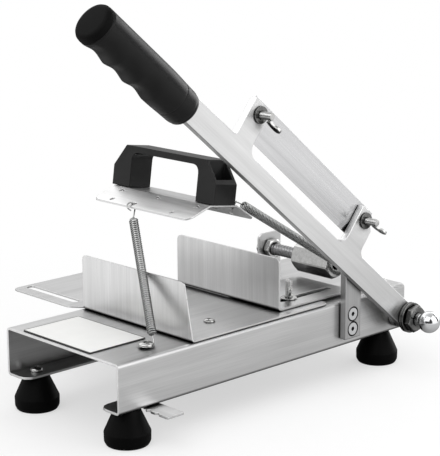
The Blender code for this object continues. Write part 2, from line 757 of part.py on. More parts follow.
def foot(place, x, y):
    cone_end = -GAP - FOOT_CONE
    band_end = cone_end - FOOT_BAND
    rounding = FOOT_HEIGHT + band_end
    bore = FOOT_SCREW_RADIUS + HOLE_CLEARANCE
    turns = [QUARTER * step / 2 for step in range(3)]
    edge = [
        (FOOT_RADIUS - FOOT_UNDERCUT * (1 - math.cos(turn)), band_end - rounding * math.sin(turn))
        for turn in turns
    ]
    profile = [
        (0.0, -FOOT_BORE_DEPTH),
        (bore, -FOOT_BORE_DEPTH),
        (bore, -GAP),
        (FOOT_TOP_RADIUS, -GAP),
        (FOOT_RADIUS, cone_end),
        *edge,
        (0.0, -FOOT_HEIGHT),
    ]
    return turned("foot_" + place, profile, RUBBER, SLICER, (x, y, 0.0), UPWARDS, GRIP_SIDES)


def foot_screw(place, x, y):
    size = (FOOT_SCREW_RADIUS, FOOT_SCREW_LENGTH, FOOT_SCREW_HEAD_RADIUS, FOOT_SCREW_HEAD_HEIGHT)
    location = (x, y, BASE_SHEET + GAP)
    return domed_screw("foot_screw_" + place, BRIGHT, SLICER, location, UPWARDS, size)


def label_plate():
    low_x, low_y = LABEL_LEFT, LABEL_NEAR
    high_x, high_y = LABEL_LEFT + LABEL_LENGTH, LABEL_NEAR + LABEL_WIDTH
    corners = ((low_x, low_y), (high_x, low_y), (high_x, high_y), (low_x, high_y))
    outline = rounded([(x, y, LABEL_CORNER) for x, y in corners])
    location = (0.0, 0.0, FLOOR_BOTTOM + LABEL_SHEET / 2)
    return prism("label_plate", [outline], LABEL_SHEET, WHITE_PLATE, SLICER, location)


# Tray and meat guide


def tray():
    path = (
        (TRAY_LEFT + TRAY_BEND + TRAY_LAP, FLOOR_BOTTOM),
        (TRAY_LEFT, FLOOR_BOTTOM),
        (TRAY_LEFT, UPRIGHT_TOP + OVERRUN),
    )
    section = bent_sheet(path, TRAY_SHEET, TRAY_BEND)
    length = UPRIGHT_FAR - TRAY_NEAR + 2 * OVERRUN
    middle = (0.0, (UPRIGHT_FAR + TRAY_NEAR) / 2, 0.0)
    body = prism("tray", [section], length, BRUSHED, SLICER, middle, FLAT_XZ)
    side = rounded(
        [
            (TRAY_NEAR, FLOOR_BOTTOM - OVERRUN, 0),
            (TRAY_NEAR, FLOOR_TOP, 0),
            (TRAY_NEAR + UPRIGHT_SLANT, UPRIGHT_TOP, UPRIGHT_CORNER),
            (UPRIGHT_FAR, UPRIGHT_TOP, UPRIGHT_CORNER),
            (UPRIGHT_FAR, FLOOR_BOTTOM - OVERRUN, 0),
        ]
    )
    depth = 2 * (TRAY_BEND + TRAY_LAP + OVERRUN)
    trim(body, prism("tray_side", [side], depth, BRUSHED, SLICER, (TRAY_LEFT, 0.0, 0.0), FLAT_YZ))
    floor_left = TRAY_LEFT + TRAY_BEND
    floor = rounded(
        [
            (floor_left, TRAY_NEAR, 0),
            (TRAY_RIGHT, TRAY_NEAR, TRAY_CORNER),
            (TRAY_RIGHT, TRAY_BACK, TRAY_CORNER),
            (EXTENSION_RIGHT, TRAY_BACK, EXTENSION_FILLET),
            (EXTENSION_RIGHT, TRAY_BACK + EXTENSION_REACH, EXTENSION_CORNER),
            (EXTENSION_LEFT, TRAY_BACK + EXTENSION_REACH, EXTENSION_CORNER),
            (EXTENSION_LEFT, TRAY_BACK + EXTENSION_NECK, EXTENSION_FILLET),
            (floor_left, UPRIGHT_FAR, 0),
        ]
    )
    slot_near, slot_far = TRAY_BACK + TRAY_SLOT_NEAR, TRAY_BACK + TRAY_SLOT_FAR
    long_slot = slot(TRAY_SLOT_LEFT, TRAY_SLOT_LEFT + TRAY_SLOT_WIDTH, slot_near, slot_far)
    holes = [circle(x, y, PAN_SCREW_RADIUS + HOLE_CLEARANCE, SMALL_SIDES) for x, y in TRAY_SCREW_PLACES]
    holes.append(circle(GUIDE_BOLT_X, GUIDE_BOLT_Y, GUIDE_BOLT_RADIUS + HOLE_CLEARANCE, SMALL_SIDES))
    place = (0.0, 0.0, FLOOR_BOTTOM + TRAY_SHEET / 2)
    unite(body, prism("tray_floor", [floor, long_slot, *holes], TRAY_SHEET, BRUSHED, SLICER, place))
    return body


def right_guide():
    foot_length = GUIDE_RIGHT - GUIDE_LEFT
    path = ((foot_length + OVERRUN, GUIDE_BOTTOM), (0.0, GUIDE_BOTTOM), (0.0, UPRIGHT_TOP + OVERRUN))
    section = bent_sheet(path, GUIDE_SHEET, GUIDE_BEND)
    middle = (0.0, GUIDE_NEAR + GUIDE_LENGTH / 2, 0.0)
    guide = prism("right_guide", [section], GUIDE_LENGTH + 2 * OVERRUN, BRUSHED, GUIDE, middle, FLAT_XZ)
    far = GUIDE_NEAR + GUIDE_LENGTH
    side = rounded(
        [
            (GUIDE_NEAR, GUIDE_BOTTOM - OVERRUN, 0),
            (GUIDE_NEAR, UPRIGHT_TOP, GUIDE_CORNER),
            (far, UPRIGHT_TOP, GUIDE_CORNER),
            (far, GUIDE_BOTTOM - OVERRUN, 0),
        ]
    )
    depth = 2 * (foot_length + 2 * OVERRUN)
    trim(guide, prism("guide_side", [side], depth, BRUSHED, GUIDE, (0.0, 0.0, 0.0), FLAT_YZ))
    foot_far = GUIDE_NEAR + GUIDE_FOOT_DEPTH
    near = GUIDE_NEAR - OVERRUN
    plan = rounded(
        [
            (-OVERRUN, near, 0),
            (GUIDE_BEND, near, 0),
            (GUIDE_BEND, GUIDE_NEAR, 0),
            (foot_length, GUIDE_NEAR, GUIDE_CORNER),
            (foot_length, foot_far, GUIDE_CORNER),
            (GUIDE_BEND, foot_far, 0),
            (GUIDE_BEND, far + OVERRUN, 0),
            (-OVERRUN, far + OVERRUN, 0),
        ]
    )
    half = GUIDE_BOLT_RADIUS + HOLE_CLEARANCE
    start, end = GUIDE_SLOT_START - GUIDE_LEFT, GUIDE_SLOT_END - GUIDE_LEFT
    long_slot = slot(start, end, GUIDE_BOLT_Y - half, GUIDE_BOLT_Y + half)
    height = 2 * (UPRIGHT_TOP + OVERRUN)
    trim(guide, prism("guide_plan", [plan, long_slot], height, BRUSHED, GUIDE))
    return guide


def guide_fastening():
    washer_bottom = GUIDE_TOP + GAP
    nut_bottom = washer_bottom + WASHER_SHEET + GAP
    bolt_bottom = BASE_HEIGHT - BASE_SHEET - GAP
    length = nut_bottom + WING_HUB_HEIGHT + GUIDE_BOLT_ABOVE_NUT - bolt_bottom
    size = (GUIDE_BOLT_RADIUS, length, GUIDE_BOLT_HEAD_RADIUS, GUIDE_BOLT_HEAD_HEIGHT)
    domed_screw("guide_bolt", BRIGHT, SLICER, (GUIDE_BOLT_X, GUIDE_BOLT_Y, bolt_bottom), DOWNWARDS, size)
    place = (GUIDE_BOLT_X, GUIDE_BOLT_Y, washer_bottom + WASHER_SHEET / 2)
    washer("guide_washer", WASHER_RADIUS, NUT_BORE_RADIUS, WASHER_SHEET, BRIGHT, SLICER, place, UPWARDS)
    return nut_bottom


# Wing nuts share one shape


def wing_nut_shape():
    profile = [
        (0.0, WING_HUB_HEIGHT),
        (WING_HUB_TOP_RADIUS, WING_HUB_HEIGHT),
        (WING_HUB_RADIUS, 0.0),
        (0.0, 0.0),
    ]
    nut = turned("wing_nut", profile, BRIGHT, SLICER, (0.0, 0.0, 0.0), UPWARDS, NUT_SIDES)
    wing = rounded(
        [
            (WING_ROOT, WING_LOW, 0),
            (WING_REACH, WING_RISE, WING_CORNER),
            (WING_REACH, WING_HEIGHT, WING_CORNER),
            (WING_ROOT, WING_HUB_HEIGHT - WING_LOW, 0),
        ]
    )
    other_wing = [(-x, y) for x, y in wing[::-1]]
    unite(nut, prism("wings", [wing, other_wing], WING_SHEET, BRIGHT, SLICER, rotation=FLAT_XZ))
    middle, depth = [(0.0, 0.0, 0.0)], 4 * WING_HUB_HEIGHT
    cut(nut, rods("nut_bore", middle, WING_NUT_BORE_RADIUS, depth, BRIGHT, SLICER, sides=NUT_SIDES))
    mesh = flatten(nut)
    bpy.data.objects.remove(nut)
    return mesh


def wing_nut(mesh, name, parent, location, rotation):
    return keep(mesh, name, BRIGHT, parent, location, rotation)


# Threaded stud on its bracket, with the long coupling nut


def stud_bracket():
    path = (
        (BRACKET_NEAR + BRACKET_DEPTH, FLOOR_BOTTOM),
        (BRACKET_NEAR, FLOOR_BOTTOM),
        (BRACKET_NEAR, STUD_RISE + BRACKET_ABOVE_STUD + OVERRUN),
    )
    section = bent_sheet(path, BRACKET_SHEET, BRACKET_BEND)
    place = (STUD_FROM_LEFT, 0.0, 0.0)
    length = BRACKET_WIDTH + 2 * OVERRUN
    bracket = prism("stud_bracket", [section], length, BRUSHED, SLICER, place, FLAT_YZ)
    low_x, high_x = BRACKET_LEFT, BRACKET_LEFT + BRACKET_WIDTH
    top = STUD_RISE + BRACKET_ABOVE_STUD
    front = rounded(
        [
            (low_x, FLOOR_BOTTOM - OVERRUN, 0),
            (high_x, FLOOR_BOTTOM - OVERRUN, 0),
            (high_x, top, BRACKET_CORNER),
            (low_x, top, BRACKET_CORNER),
        ]
    )
    stud_hole = circle(STUD_FROM_LEFT, STUD_RISE, STUD_RADIUS + HOLE_CLEARANCE)
    depth = 2 * (BRACKET_DEPTH + OVERRUN)
    place = (0.0, BRACKET_NEAR, 0.0)
    trim(bracket, prism("bracket_front", [front, stud_hole], depth, BRUSHED, SLICER, place, FLAT_XZ))
    places = [(x, y, FLOOR_BOTTOM) for x, y in BRACKET_SCREW_PLACES]
    radius = PAN_SCREW_RADIUS + HOLE_CLEARANCE
    length = 2 * (BRACKET_SHEET + OVERRUN)
    cut(bracket, rods("bracket_holes", places, radius, length, BRUSHED, SLICER, sides=SMALL_SIDES))
    return bracket


def stud_and_nuts():
    """Stud whose coarse thread is drawn as rings, its two nuts and the coupling nut on its near end."""
    coupling_far = COUPLING_NEAR + COUPLING_LENGTH
    near_nut = BRACKET_NEAR - GAP - STUD_NUT_HEIGHT / 2
    far_nut = BRACKET_NEAR + BRACKET_SHEET + GAP + STUD_NUT_HEIGHT / 2
    stud_near = coupling_far - STUD_IN_NUT
    stud_far = far_nut + STUD_NUT_HEIGHT / 2 + STUD_END_BEHIND
    thread_end = near_nut - STUD_NUT_HEIGHT / 2 - coupling_far
    threads = math.floor(thread_end / THREAD_PITCH)
    profile = [(0.0, stud_far - coupling_far), (STUD_RADIUS, stud_far - coupling_far)]
    for number in range(threads, 0, -1):
        along = number * THREAD_PITCH
        profile.append((STUD_RADIUS, along))
        profile.append((STUD_RADIUS - THREAD_DEPTH, along - THREAD_PITCH / 2))
    profile += [(STUD_RADIUS, 0.0), (STUD_RADIUS, stud_near - coupling_far), (0.0, stud_near - coupling_far)]
    place = (STUD_FROM_LEFT, coupling_far, STUD_RISE)
    turned("stud", profile, BLACKENED, SLICER, place, TO_PLUS_Y, NUT_SIDES)
    bore = STUD_RADIUS + HOLE_CLEARANCE
    for name, y in (("stud_nut_near", near_nut), ("stud_nut_far", far_nut)):
        place = (STUD_FROM_LEFT, y, STUD_RISE)
        chamfered_nut(name, STUD_NUT_FLATS, STUD_NUT_HEIGHT, bore, BRIGHT, SLICER, place, TO_MINUS_Y)
    place = (STUD_FROM_LEFT, COUPLING_NEAR + COUPLING_LENGTH / 2, STUD_RISE)
    turn = (QUARTER, COUPLING_TURN, 0.0)
    flats, length, bore = COUPLING_FLATS, COUPLING_LENGTH, COUPLING_BORE_RADIUS
    chamfered_nut("coupling_nut", flats, length, bore, BRIGHT, SLICER, place, turn)


# Meat press


def press_saddle():
    wing = PRESS_WING + OVERRUN
    out, down = wing * math.cos(PRESS_WING_ANGLE), wing * math.sin(PRESS_WING_ANGLE)
    path = (
        (-PRESS_HALF_TOP - out, -down),
        (-PRESS_HALF_TOP, 0.0),
        (PRESS_HALF_TOP, 0.0),
        (PRESS_HALF_TOP + out, -down),
    )
    section = bent_sheet(path, PRESS_SHEET, PRESS_BEND)
    middle = (0.0, PRESS_NEAR + PRESS_LENGTH / 2, 0.0)
    saddle = prism("press_saddle", [section], PRESS_LENGTH + 2 * OVERRUN, BRUSHED, PRESS, middle, FLAT_XZ)
    left, right, near, far = -PRESS_HALF, PRESS_HALF, PRESS_NEAR, PRESS_FAR
    corners = ((left, near), (right, near), (right, far), (left, far))
    outlines = [rounded([(x, y, PRESS_CORNER) for x, y in corners])]
    for side in (-1, 1):
        for share in PRESS_HOLE_SHARES:
            x, y = side * PRESS_EDGE_HOLE_X, PRESS_NEAR + share * PRESS_LENGTH
            outlines.append(circle(x, y, PRESS_HOLE_RADIUS, PIERCED_SIDES))
        slot_x = side * (PRESS_HALF_TOP + PRESS_SLOT_FROM_BEND)
        for share in PRESS_SLOT_SHARES:
            half_width, half_length = PRESS_SLOT_WIDTH / 2, PRESS_SLOT_LENGTH / 2
            y = PRESS_NEAR + share * PRESS_LENGTH
            tip, root = (slot_x, y - half_length), y + half_length
            outlines.append([tip, (slot_x + half_width, root), (slot_x - half_width, root)])
    for y in HANDLE_LEG_PLACES:
        outlines.append(circle(-HANDLE_OFFSET, y, HANDLE_SCREW_RADIUS + HOLE_CLEARANCE, PIERCED_SIDES))
    trim(saddle, prism("saddle_plan", outlines, 2 * (PRESS_WING + OVERRUN), BRUSHED, PRESS))
    return saddle


def press_handle():
    low = GAP
    knee, top = low + HANDLE_KNEE, low + HANDLE_HEIGHT
    beam = top - HANDLE_BEAM
    side = rounded(
        [
            (HANDLE_NEAR, low, 0),
            (HANDLE_NEAR, knee, HANDLE_KNEE_CORNER),
            (HANDLE_NEAR + HANDLE_SHOULDER, top, HANDLE_KNEE_CORNER),
            (HANDLE_FAR - HANDLE_SHOULDER, top, HANDLE_KNEE_CORNER),
            (HANDLE_FAR, knee, HANDLE_KNEE_CORNER),
            (HANDLE_FAR, low, 0),
            (HANDLE_FAR - HANDLE_LEG, low, 0),
            (HANDLE_FAR - HANDLE_LEG, beam, HANDLE_INNER_CORNER),
            (HANDLE_NEAR + HANDLE_LEG, beam, HANDLE_INNER_CORNER),
            (HANDLE_NEAR + HANDLE_LEG, low, 0),
        ]
    )
    place = (-HANDLE_OFFSET, 0.0, 0.0)
    handle = prism("press_handle", [side], HANDLE_WIDTH, BLACK_PLASTIC, PRESS, place, FLAT_YZ)
    soften(handle, HANDLE_EDGE)
    half = HANDLE_WIDTH / 2 - POCKET_WALL
    pocket_low, pocket_high = low + POCKET_FLOOR, top + OVERRUN
    near, far = HANDLE_NEAR + POCKET_WALL, HANDLE_FAR - POCKET_WALL
    pockets = [
        ((-half, near, pocket_low), (half, near + POCKET_DEPTH, pocket_high)),
        ((-half, far - POCKET_DEPTH, pocket_low), (half, far, pocket_high)),
    ]
    cut(handle, blocks("handle_pockets", pockets, BLACK_PLASTIC, PRESS, place))
    bore = HANDLE_SCREW_RADIUS + HOLE_CLEARANCE
    places = [(-HANDLE_OFFSET, y, 0.0) for y in HANDLE_LEG_PLACES]
    depth = 2 * (HANDLE_SCREW_LENGTH + GAP)
    cut(handle, rods("handle_bores", places, bore, depth, BLACK_PLASTIC, PRESS, sides=SMALL_SIDES))
    return handle


def handle_screw(place, y):
    size = (HANDLE_SCREW_RADIUS, HANDLE_SCREW_LENGTH, HANDLE_SCREW_HEAD_RADIUS, HANDLE_SCREW_HEAD_HEIGHT)
    location = (-HANDLE_OFFSET, y, -PRESS_SHEET - GAP)
    return domed_screw("handle_screw_" + place, BRIGHT, PRESS, location, DOWNWARDS, size)


# Springs: one unbroken wire each, from a hook in the press to a loop round a screw


def spring_screw(place, anchor):
    """Screw with the spring's loop under its head."""
    location = (*anchor, FLOOR_BOTTOM + SPRING_WIRE + GAP)
    size = (SPRING_SCREW_RADIUS, SPRING_SCREW_LENGTH, SPRING_SCREW_HEAD_RADIUS, SPRING_SCREW_HEAD_HEIGHT)
    return cross_screw("spring_screw_" + place, location, size)


def in_slicer(x, y, z):
    """A place on the press, given in the slicer's own frame."""
    return Vector((PRESS_MIDDLE, 0.0, PRESS_RISE)) + Matrix.Rotation(PRESS_TILT, 3, "Y") @ Vector((x, y, z))


def least_gap(points):
    """Smallest clear space between stretches of the wire that aren't neighbours along it."""
    places = np.array([point[:] for point in points])
    steps = np.linalg.norm(np.diff(places, axis=0), axis=1)
    along = np.concatenate([[0.0], np.cumsum(steps)])
    samples = np.arange(0.0, along[-1], SPRING_WIRE / 4)
    fine = np.stack([np.interp(samples, along, places[:, axis]) for axis in range(3)], axis=1)
    least = math.inf
    for index in range(len(fine)):
        others = fine[index + 16 :]
        if len(others):
            least = min(least, np.linalg.norm(others - fine[index], axis=1).min())
    return least - SPRING_WIRE


def coil(low, high):
    """Wire from one end of the axis to the other, starting and ending on the axis."""
    along = high - low
    turns = math.floor(along.length / SPRING_PITCH)
    axis = along.normalized()
    side = axis.orthogonal().normalized()
    other = axis.cross(side)
    steps = turns * SPRING_POINTS
    points = []
    for step in range(steps + 1):
        from_end = min(step, steps - step) / SPRING_POINTS
        swell = min(1.0, from_end / SPRING_SWELL_TURNS)
        radius = SPRING_RADIUS * swell * swell * (3 - 2 * swell)
        turn = FULL * step / SPRING_POINTS
        around = side * math.cos(turn) + other * math.sin(turn)
        points.append(low + along * step / steps + around * radius)
    return points, turns


def loop(centre, radius, towards, other, turn_from, turn_to):
    """Arc of the end loop in the plane of two directions, angles from the first one."""
    points = []
    for step in range(SPRING_LOOP_STEPS + 1):
        turn = turn_from + (turn_to - turn_from) * step / SPRING_LOOP_STEPS
        points.append(centre + (towards * math.cos(turn) + other * math.sin(turn)) * radius)
    return points


def spring(name, anchor, twist, upper_centre, upper_end, upper_points):
    """Anchor loop round its screw, coil up to the press, and the hook there."""
    centre = Vector((anchor[0], anchor[1], FLOOR_BOTTOM + SPRING_WIRE / 2))
    rise = upper_centre - centre
    flat = Matrix.Rotation(twist, 3, "Z") @ Vector((rise.x, rise.y, 0.0)).normalized()
    across = Vector((-flat.y, flat.x, 0.0))
    centre += flat * SPRING_ANCHOR_SHIFT
    ring = loop(centre, SPRING_ANCHOR_RADIUS, flat, across, LOOP_OPEN, LOOP_BENT)
    ring.insert(0, ring[0] + (ring[0] - ring[1]).normalized() * SPRING_WIRE)
    lead = centre + flat * (SPRING_ANCHOR_RADIUS + 2 * SPRING_WIRE)
    axis = (upper_centre - lead).normalized()
    low = lead + axis * SPRING_TAIL
    high = upper_centre - axis * upper_end
    wire, turns = coil(low, high)
    points = [*ring, lead, *wire, *upper_points(axis)]
    curve = bpy.data.curves.new(name, "CURVE")
    curve.dimensions = "3D"
    curve.bevel_depth = SPRING_WIRE / 2
    curve.bevel_resolution = 1
    curve.use_fill_caps = True
    line = curve.splines.new("POLY")
    line.points.add(len(points) - 1)
    for point, place in zip(line.points, points):
        point.co = (*place, 1.0)
    curve.materials.append(SPRING_STEEL)
    obj = bpy.data.objects.new(name, curve)
    PARTS.objects.link(obj)
    obj.parent = SLICER
    print(f"{name}: {turns} curls, least gap to itself {least_gap(points) * 1000:.2f} mm")
    return obj


def left_spring():
    y = PRESS_NEAR + SPRING_LEFT_HOLE_SHARE * PRESS_LENGTH
    hole = in_slicer(-PRESS_EDGE_HOLE_X, y, wing_middle(PRESS_EDGE_HOLE_X))
    outwards = (hole - in_slicer(-PRESS_HALF_TOP, y, wing_middle(PRESS_HALF_TOP))).normalized()
    centre = hole + outwards * SPRING_LOOP_RADIUS

    def hook(axis):
        towards = (-axis + outwards * axis.dot(outwards)).normalized()
        ring = loop(centre, SPRING_LOOP_RADIUS, towards, -outwards, LOOP_BENT, LOOP_OPEN)
        return [*ring, ring[-1] + (ring[-1] - ring[-2]).normalized() * SPRING_WIRE]

    return spring("left_spring", SPRING_LEFT_ANCHOR, SPRING_LEFT_TWIST, centre, SPRING_LEFT_END, hook)


def right_spring():
    hole = in_slicer(SPRING_RIGHT_HOLE_X, SPRING_RIGHT_HOLE_Y, wing_middle(SPRING_RIGHT_HOLE_X))
    slope = in_slicer(SPRING_RIGHT_HOLE_X, 0.0, 0.0) - in_slicer(PRESS_HALF_TOP, 0.0, 0.0)
    outwards = Matrix.Rotation(PRESS_WING_ANGLE, 3, "Y") @ slope.normalized()
    normal = Vector((-outwards.z, 0.0, outwards.x))
    above = hole + normal * (SPRING_RADIUS + SPRING_WIRE + PRESS_SHEET)
    end = above + outwards * (SPRING_LOOP_RADIUS + SPRING_WIRE)

    def hook(axis):
        bend = above + outwards * SPRING_WIRE - normal * (SPRING_WIRE / 2)
        return [end, bend, above - normal * SPRING_WIRE, hole - normal * SPRING_HOOK_DROP]

    return spring("right_spring", SPRING_RIGHT_ANCHOR, SPRING_RIGHT_TWIST, end, SPRING_RIGHT_END, hook)


def wing_middle(out):
    """Height of the middle of the saddle's sheet, this far from its middle line."""
    fall = (out - PRESS_HALF_TOP) * math.tan(PRESS_WING_ANGLE)
    return -fall - PRESS_SHEET / 2


# Arm, grip and blade; on the arm x runs along it from the pivot, y away from the base


def arm_plate():
    outline = rounded(
        [
            (-ARM_BELOW, -ARM_BELOW, ARM_BELOW * PIVOT_END_SHARE),
            (TANG_START, -ARM_BELOW, ARM_TANG_CORNER),
            (TANG_START, -GRIP_DROP - ARM_TANG_HALF, 0),
            (TANG_END, -GRIP_DROP - ARM_TANG_HALF, ARM_TANG_CORNER),
            (TANG_END, -GRIP_DROP + ARM_TANG_HALF, ARM_TANG_CORNER),
            (TANG_START, -GRIP_DROP + ARM_TANG_HALF, 0),
            (TANG_START, ARM_ABOVE, ARM_TANG_CORNER),
            (EAR_OUTER_END, ARM_ABOVE, EAR_NOTCH),
            (EAR_OUTER_END, EAR_TOP, EAR_CORNER),
            (EAR_OUTER_END - EAR_TOP_WIDTH, EAR_TOP, EAR_CORNER),
            (EAR_OUTER_START, EAR_SLANT_LOW, EAR_CORNER),
            (EAR_OUTER_START, ARM_GAP_EDGE, EAR_FILLET),
            (EAR_INNER_END, ARM_GAP_EDGE, EAR_FILLET),
            (EAR_INNER_END, EAR_TOP, EAR_CORNER),
            (EAR_INNER_END - EAR_TOP_WIDTH, EAR_TOP, EAR_CORNER),
            (EAR_INNER_START, EAR_SLANT_LOW, EAR_CORNER),
            (EAR_INNER_START, ARM_ABOVE, EAR_HEEL),
            (-ARM_BELOW, ARM_ABOVE, ARM_ABOVE * PIVOT_END_SHARE),
        ]
    )
    arm = prism("arm_plate", [outline], ARM_SHEET, BRUSHED, ARM, (0.0, ARM_MIDDLE, 0.0), FLAT_XZ)
    length = ARM_SHEET + 2 * OVERRUN
    pivot = PIVOT_BOLT_RADIUS + PIVOT_CLEARANCE
    middle = [(0.0, ARM_MIDDLE, 0.0)]
    cut(arm, rods("arm_pivot_hole", middle, pivot, length, BRUSHED, ARM, FLAT_XZ, BORE_SIDES))
    places = [(along, ARM_MIDDLE, BLADE_BOLT_RISE) for along in BLADE_BOLT_PLACES]
    bolt = BLADE_BOLT_RADIUS + HOLE_CLEARANCE
    cut(arm, rods("arm_bolt_holes", places, bolt, length, BRUSHED, ARM, FLAT_XZ, SMALL_SIDES))
    return arm


def blade():
    back, front = BLADE_BACK, BLADE_BACK + BLADE_SHEET
    section = [
        (back, BLADE_EDGE_RISE),
        (back, BLADE_EDGE_RISE + BLADE_WIDTH),
        (front, BLADE_EDGE_RISE + BLADE_WIDTH),
        (front, BLADE_EDGE_RISE + BLADE_BEVEL),
        (back + BLADE_EDGE_SHEET, BLADE_EDGE_RISE),
    ]
    middle = (BLADE_START + BLADE_LENGTH / 2, 0.0, 0.0)
    steel = prism("blade", [section], BLADE_LENGTH, BLADE_STEEL, ARM, middle, FLAT_YZ)
    places = [(along, back, BLADE_BOLT_RISE) for along in BLADE_BOLT_PLACES]
    bolt = BLADE_BOLT_RADIUS + HOLE_CLEARANCE
    length = 2 * (BLADE_SHEET + OVERRUN)
    cut(steel, rods("blade_holes", places, bolt, length, BLADE_STEEL, ARM, FLAT_XZ, SMALL_SIDES))
    return steel


def blade_fastening(mesh):
    """Bolt, washer and wing nut at each ear."""
    washer_back = ARM_FRONT + GAP
    wing_back = washer_back + WASHER_SHEET + GAP
    bolt_end = wing_back + WING_HUB_HEIGHT + BLADE_BOLT_ABOVE_NUT
    head = BLADE_BACK - GAP
    size = (BLADE_BOLT_RADIUS, bolt_end - head, BLADE_BOLT_HEAD_RADIUS, BLADE_BOLT_HEAD_HEIGHT)
    turns = dict(zip(("inner", "outer"), WING_NUT_TURNS))
    for place, along in zip(("inner", "outer"), BLADE_BOLT_PLACES):
        domed_screw("blade_bolt_" + place, BRIGHT, ARM, (along, head, BLADE_BOLT_RISE), TO_MINUS_Y, size)
        spot = (along, washer_back + WASHER_SHEET / 2, BLADE_BOLT_RISE)
        name = "blade_washer_" + place
        washer(name, WASHER_RADIUS, NUT_BORE_RADIUS, WASHER_SHEET, BRIGHT, ARM, spot, FLAT_XZ)
        turn = (-QUARTER, turns[place], 0.0)
        wing_nut(mesh, "blade_wing_nut_" + place, ARM, (along, wing_back, BLADE_BOLT_RISE), turn)


def grip():
    """Round bar lofted along the arm, drawn in below between its finger crests."""
    length = GRIP_LENGTH - CAP_LENGTH - GAP
    grooves_end = GRIP_CREST_FIRST + GRIP_GROOVES * GRIP_PITCH
    rings = [(0.0, GRIP_NECK_RADIUS - GRIP_EDGE, 0.0), (GRIP_EDGE, GRIP_NECK_RADIUS, 0.0)]
    for step in range(GRIP_GROOVES * GRIP_RINGS_PER_GROOVE + 1):
        share = step / GRIP_RINGS_PER_GROOVE
        depth = GRIP_GROOVE_DEPTH * (1 - math.cos(FULL * share)) / 2
        rings.append((GRIP_CREST_FIRST + share * GRIP_PITCH, GRIP_RADIUS, depth))
    if length > grooves_end:
        rings.append((length, GRIP_RADIUS, 0.0))
    body = bmesh.new()
    loops = []
    for along, radius, depth in rings:
        ring = []
        for step in range(GRIP_SIDES):
            turn = FULL * step / GRIP_SIDES
            reach = radius - depth * max(0.0, -math.sin(turn))
            ring.append(body.verts.new((along, reach * math.cos(turn), reach * math.sin(turn))))
        loops.append(ring)
    for first, second in zip(loops, loops[1:]):
        for step in range(GRIP_SIDES):
            follow = (step + 1) % GRIP_SIDES
            body.faces.new((first[step], first[follow], second[follow], second[step]))
    body.faces.new(loops[0])
    body.faces.new(loops[-1])
    bmesh.ops.recalc_face_normals(body, faces=body.faces)
    mesh = bpy.data.meshes.new("grip")
    body.to_mesh(mesh)
    body.free()
    place = (GRIP_START, ARM_MIDDLE, -GRIP_DROP)
    obj = keep(mesh, "grip", BLACK_PLASTIC, ARM, place)
    cut(obj, tang_slot("grip_slot", place))
    plug = CAP_PLUG_RADIUS + GAP
    depth = CAP_PLUG_LENGTH + GAP
    bore = (GRIP_START + length, ARM_MIDDLE, -GRIP_DROP)
    cut(obj, rods("grip_bore", [bore], plug, 2 * depth, BLACK_PLASTIC, ARM, FLAT_YZ, NUT_SIDES))
    return obj


def tang_slot(name, place):
    """Room for the arm's tang, from before the collar to just past the tang's end."""
    half_sheet, half_width = ARM_SHEET / 2 + GAP, ARM_TANG_HALF + GAP
    start, end = TANG_START - GRIP_START - OVERRUN, TANG_END - GRIP_START + GAP
    box = ((start, -half_sheet, -half_width), (end, half_sheet, half_width))
    return blocks(name, [box], BLACK_PLASTIC, ARM, place)


def grip_collar():
    profile = [
        (0.0, COLLAR_LENGTH),
        (COLLAR_RADIUS, COLLAR_LENGTH),
        (COLLAR_RADIUS, COLLAR_EDGE),
        (COLLAR_RADIUS - COLLAR_EDGE, 0.0),
        (0.0, 0.0),
    ]
    along = (0.0, QUARTER, 0.0)
    place = (COLLAR_START, ARM_MIDDLE, -GRIP_DROP)
    collar = turned("grip_collar", profile, BLACK_PLASTIC, ARM, place, along)
    cut(collar, tang_slot("collar_slot", (GRIP_START, ARM_MIDDLE, -GRIP_DROP)))
    return collar


def grip_cap():
    inner = GRIP_RADIUS - CAP_ROUND
    turns = [QUARTER * step / 3 for step in range(4)]
    edge = []
    for turn in turns:
        radius = inner + CAP_ROUND * math.sin(turn)
        edge.append((radius, CAP_LENGTH - CAP_ROUND * (1 - math.cos(turn))))
    profile = [
        (0.0, CAP_LENGTH),
        *edge,
        (GRIP_RADIUS, 0.0),
        (CAP_PLUG_RADIUS, 0.0),
        (CAP_PLUG_RADIUS, -CAP_PLUG_LENGTH),
        (0.0, -CAP_PLUG_LENGTH),
    ]
    place = (GRIP_START + GRIP_LENGTH - CAP_LENGTH, ARM_MIDDLE, -GRIP_DROP)
    return turned("grip_cap", profile, BLACK_PLASTIC, ARM, place, (0.0, QUARTER, 0.0), GRIP_SIDES)


# Pivot, from the bolt head inside the base outwards


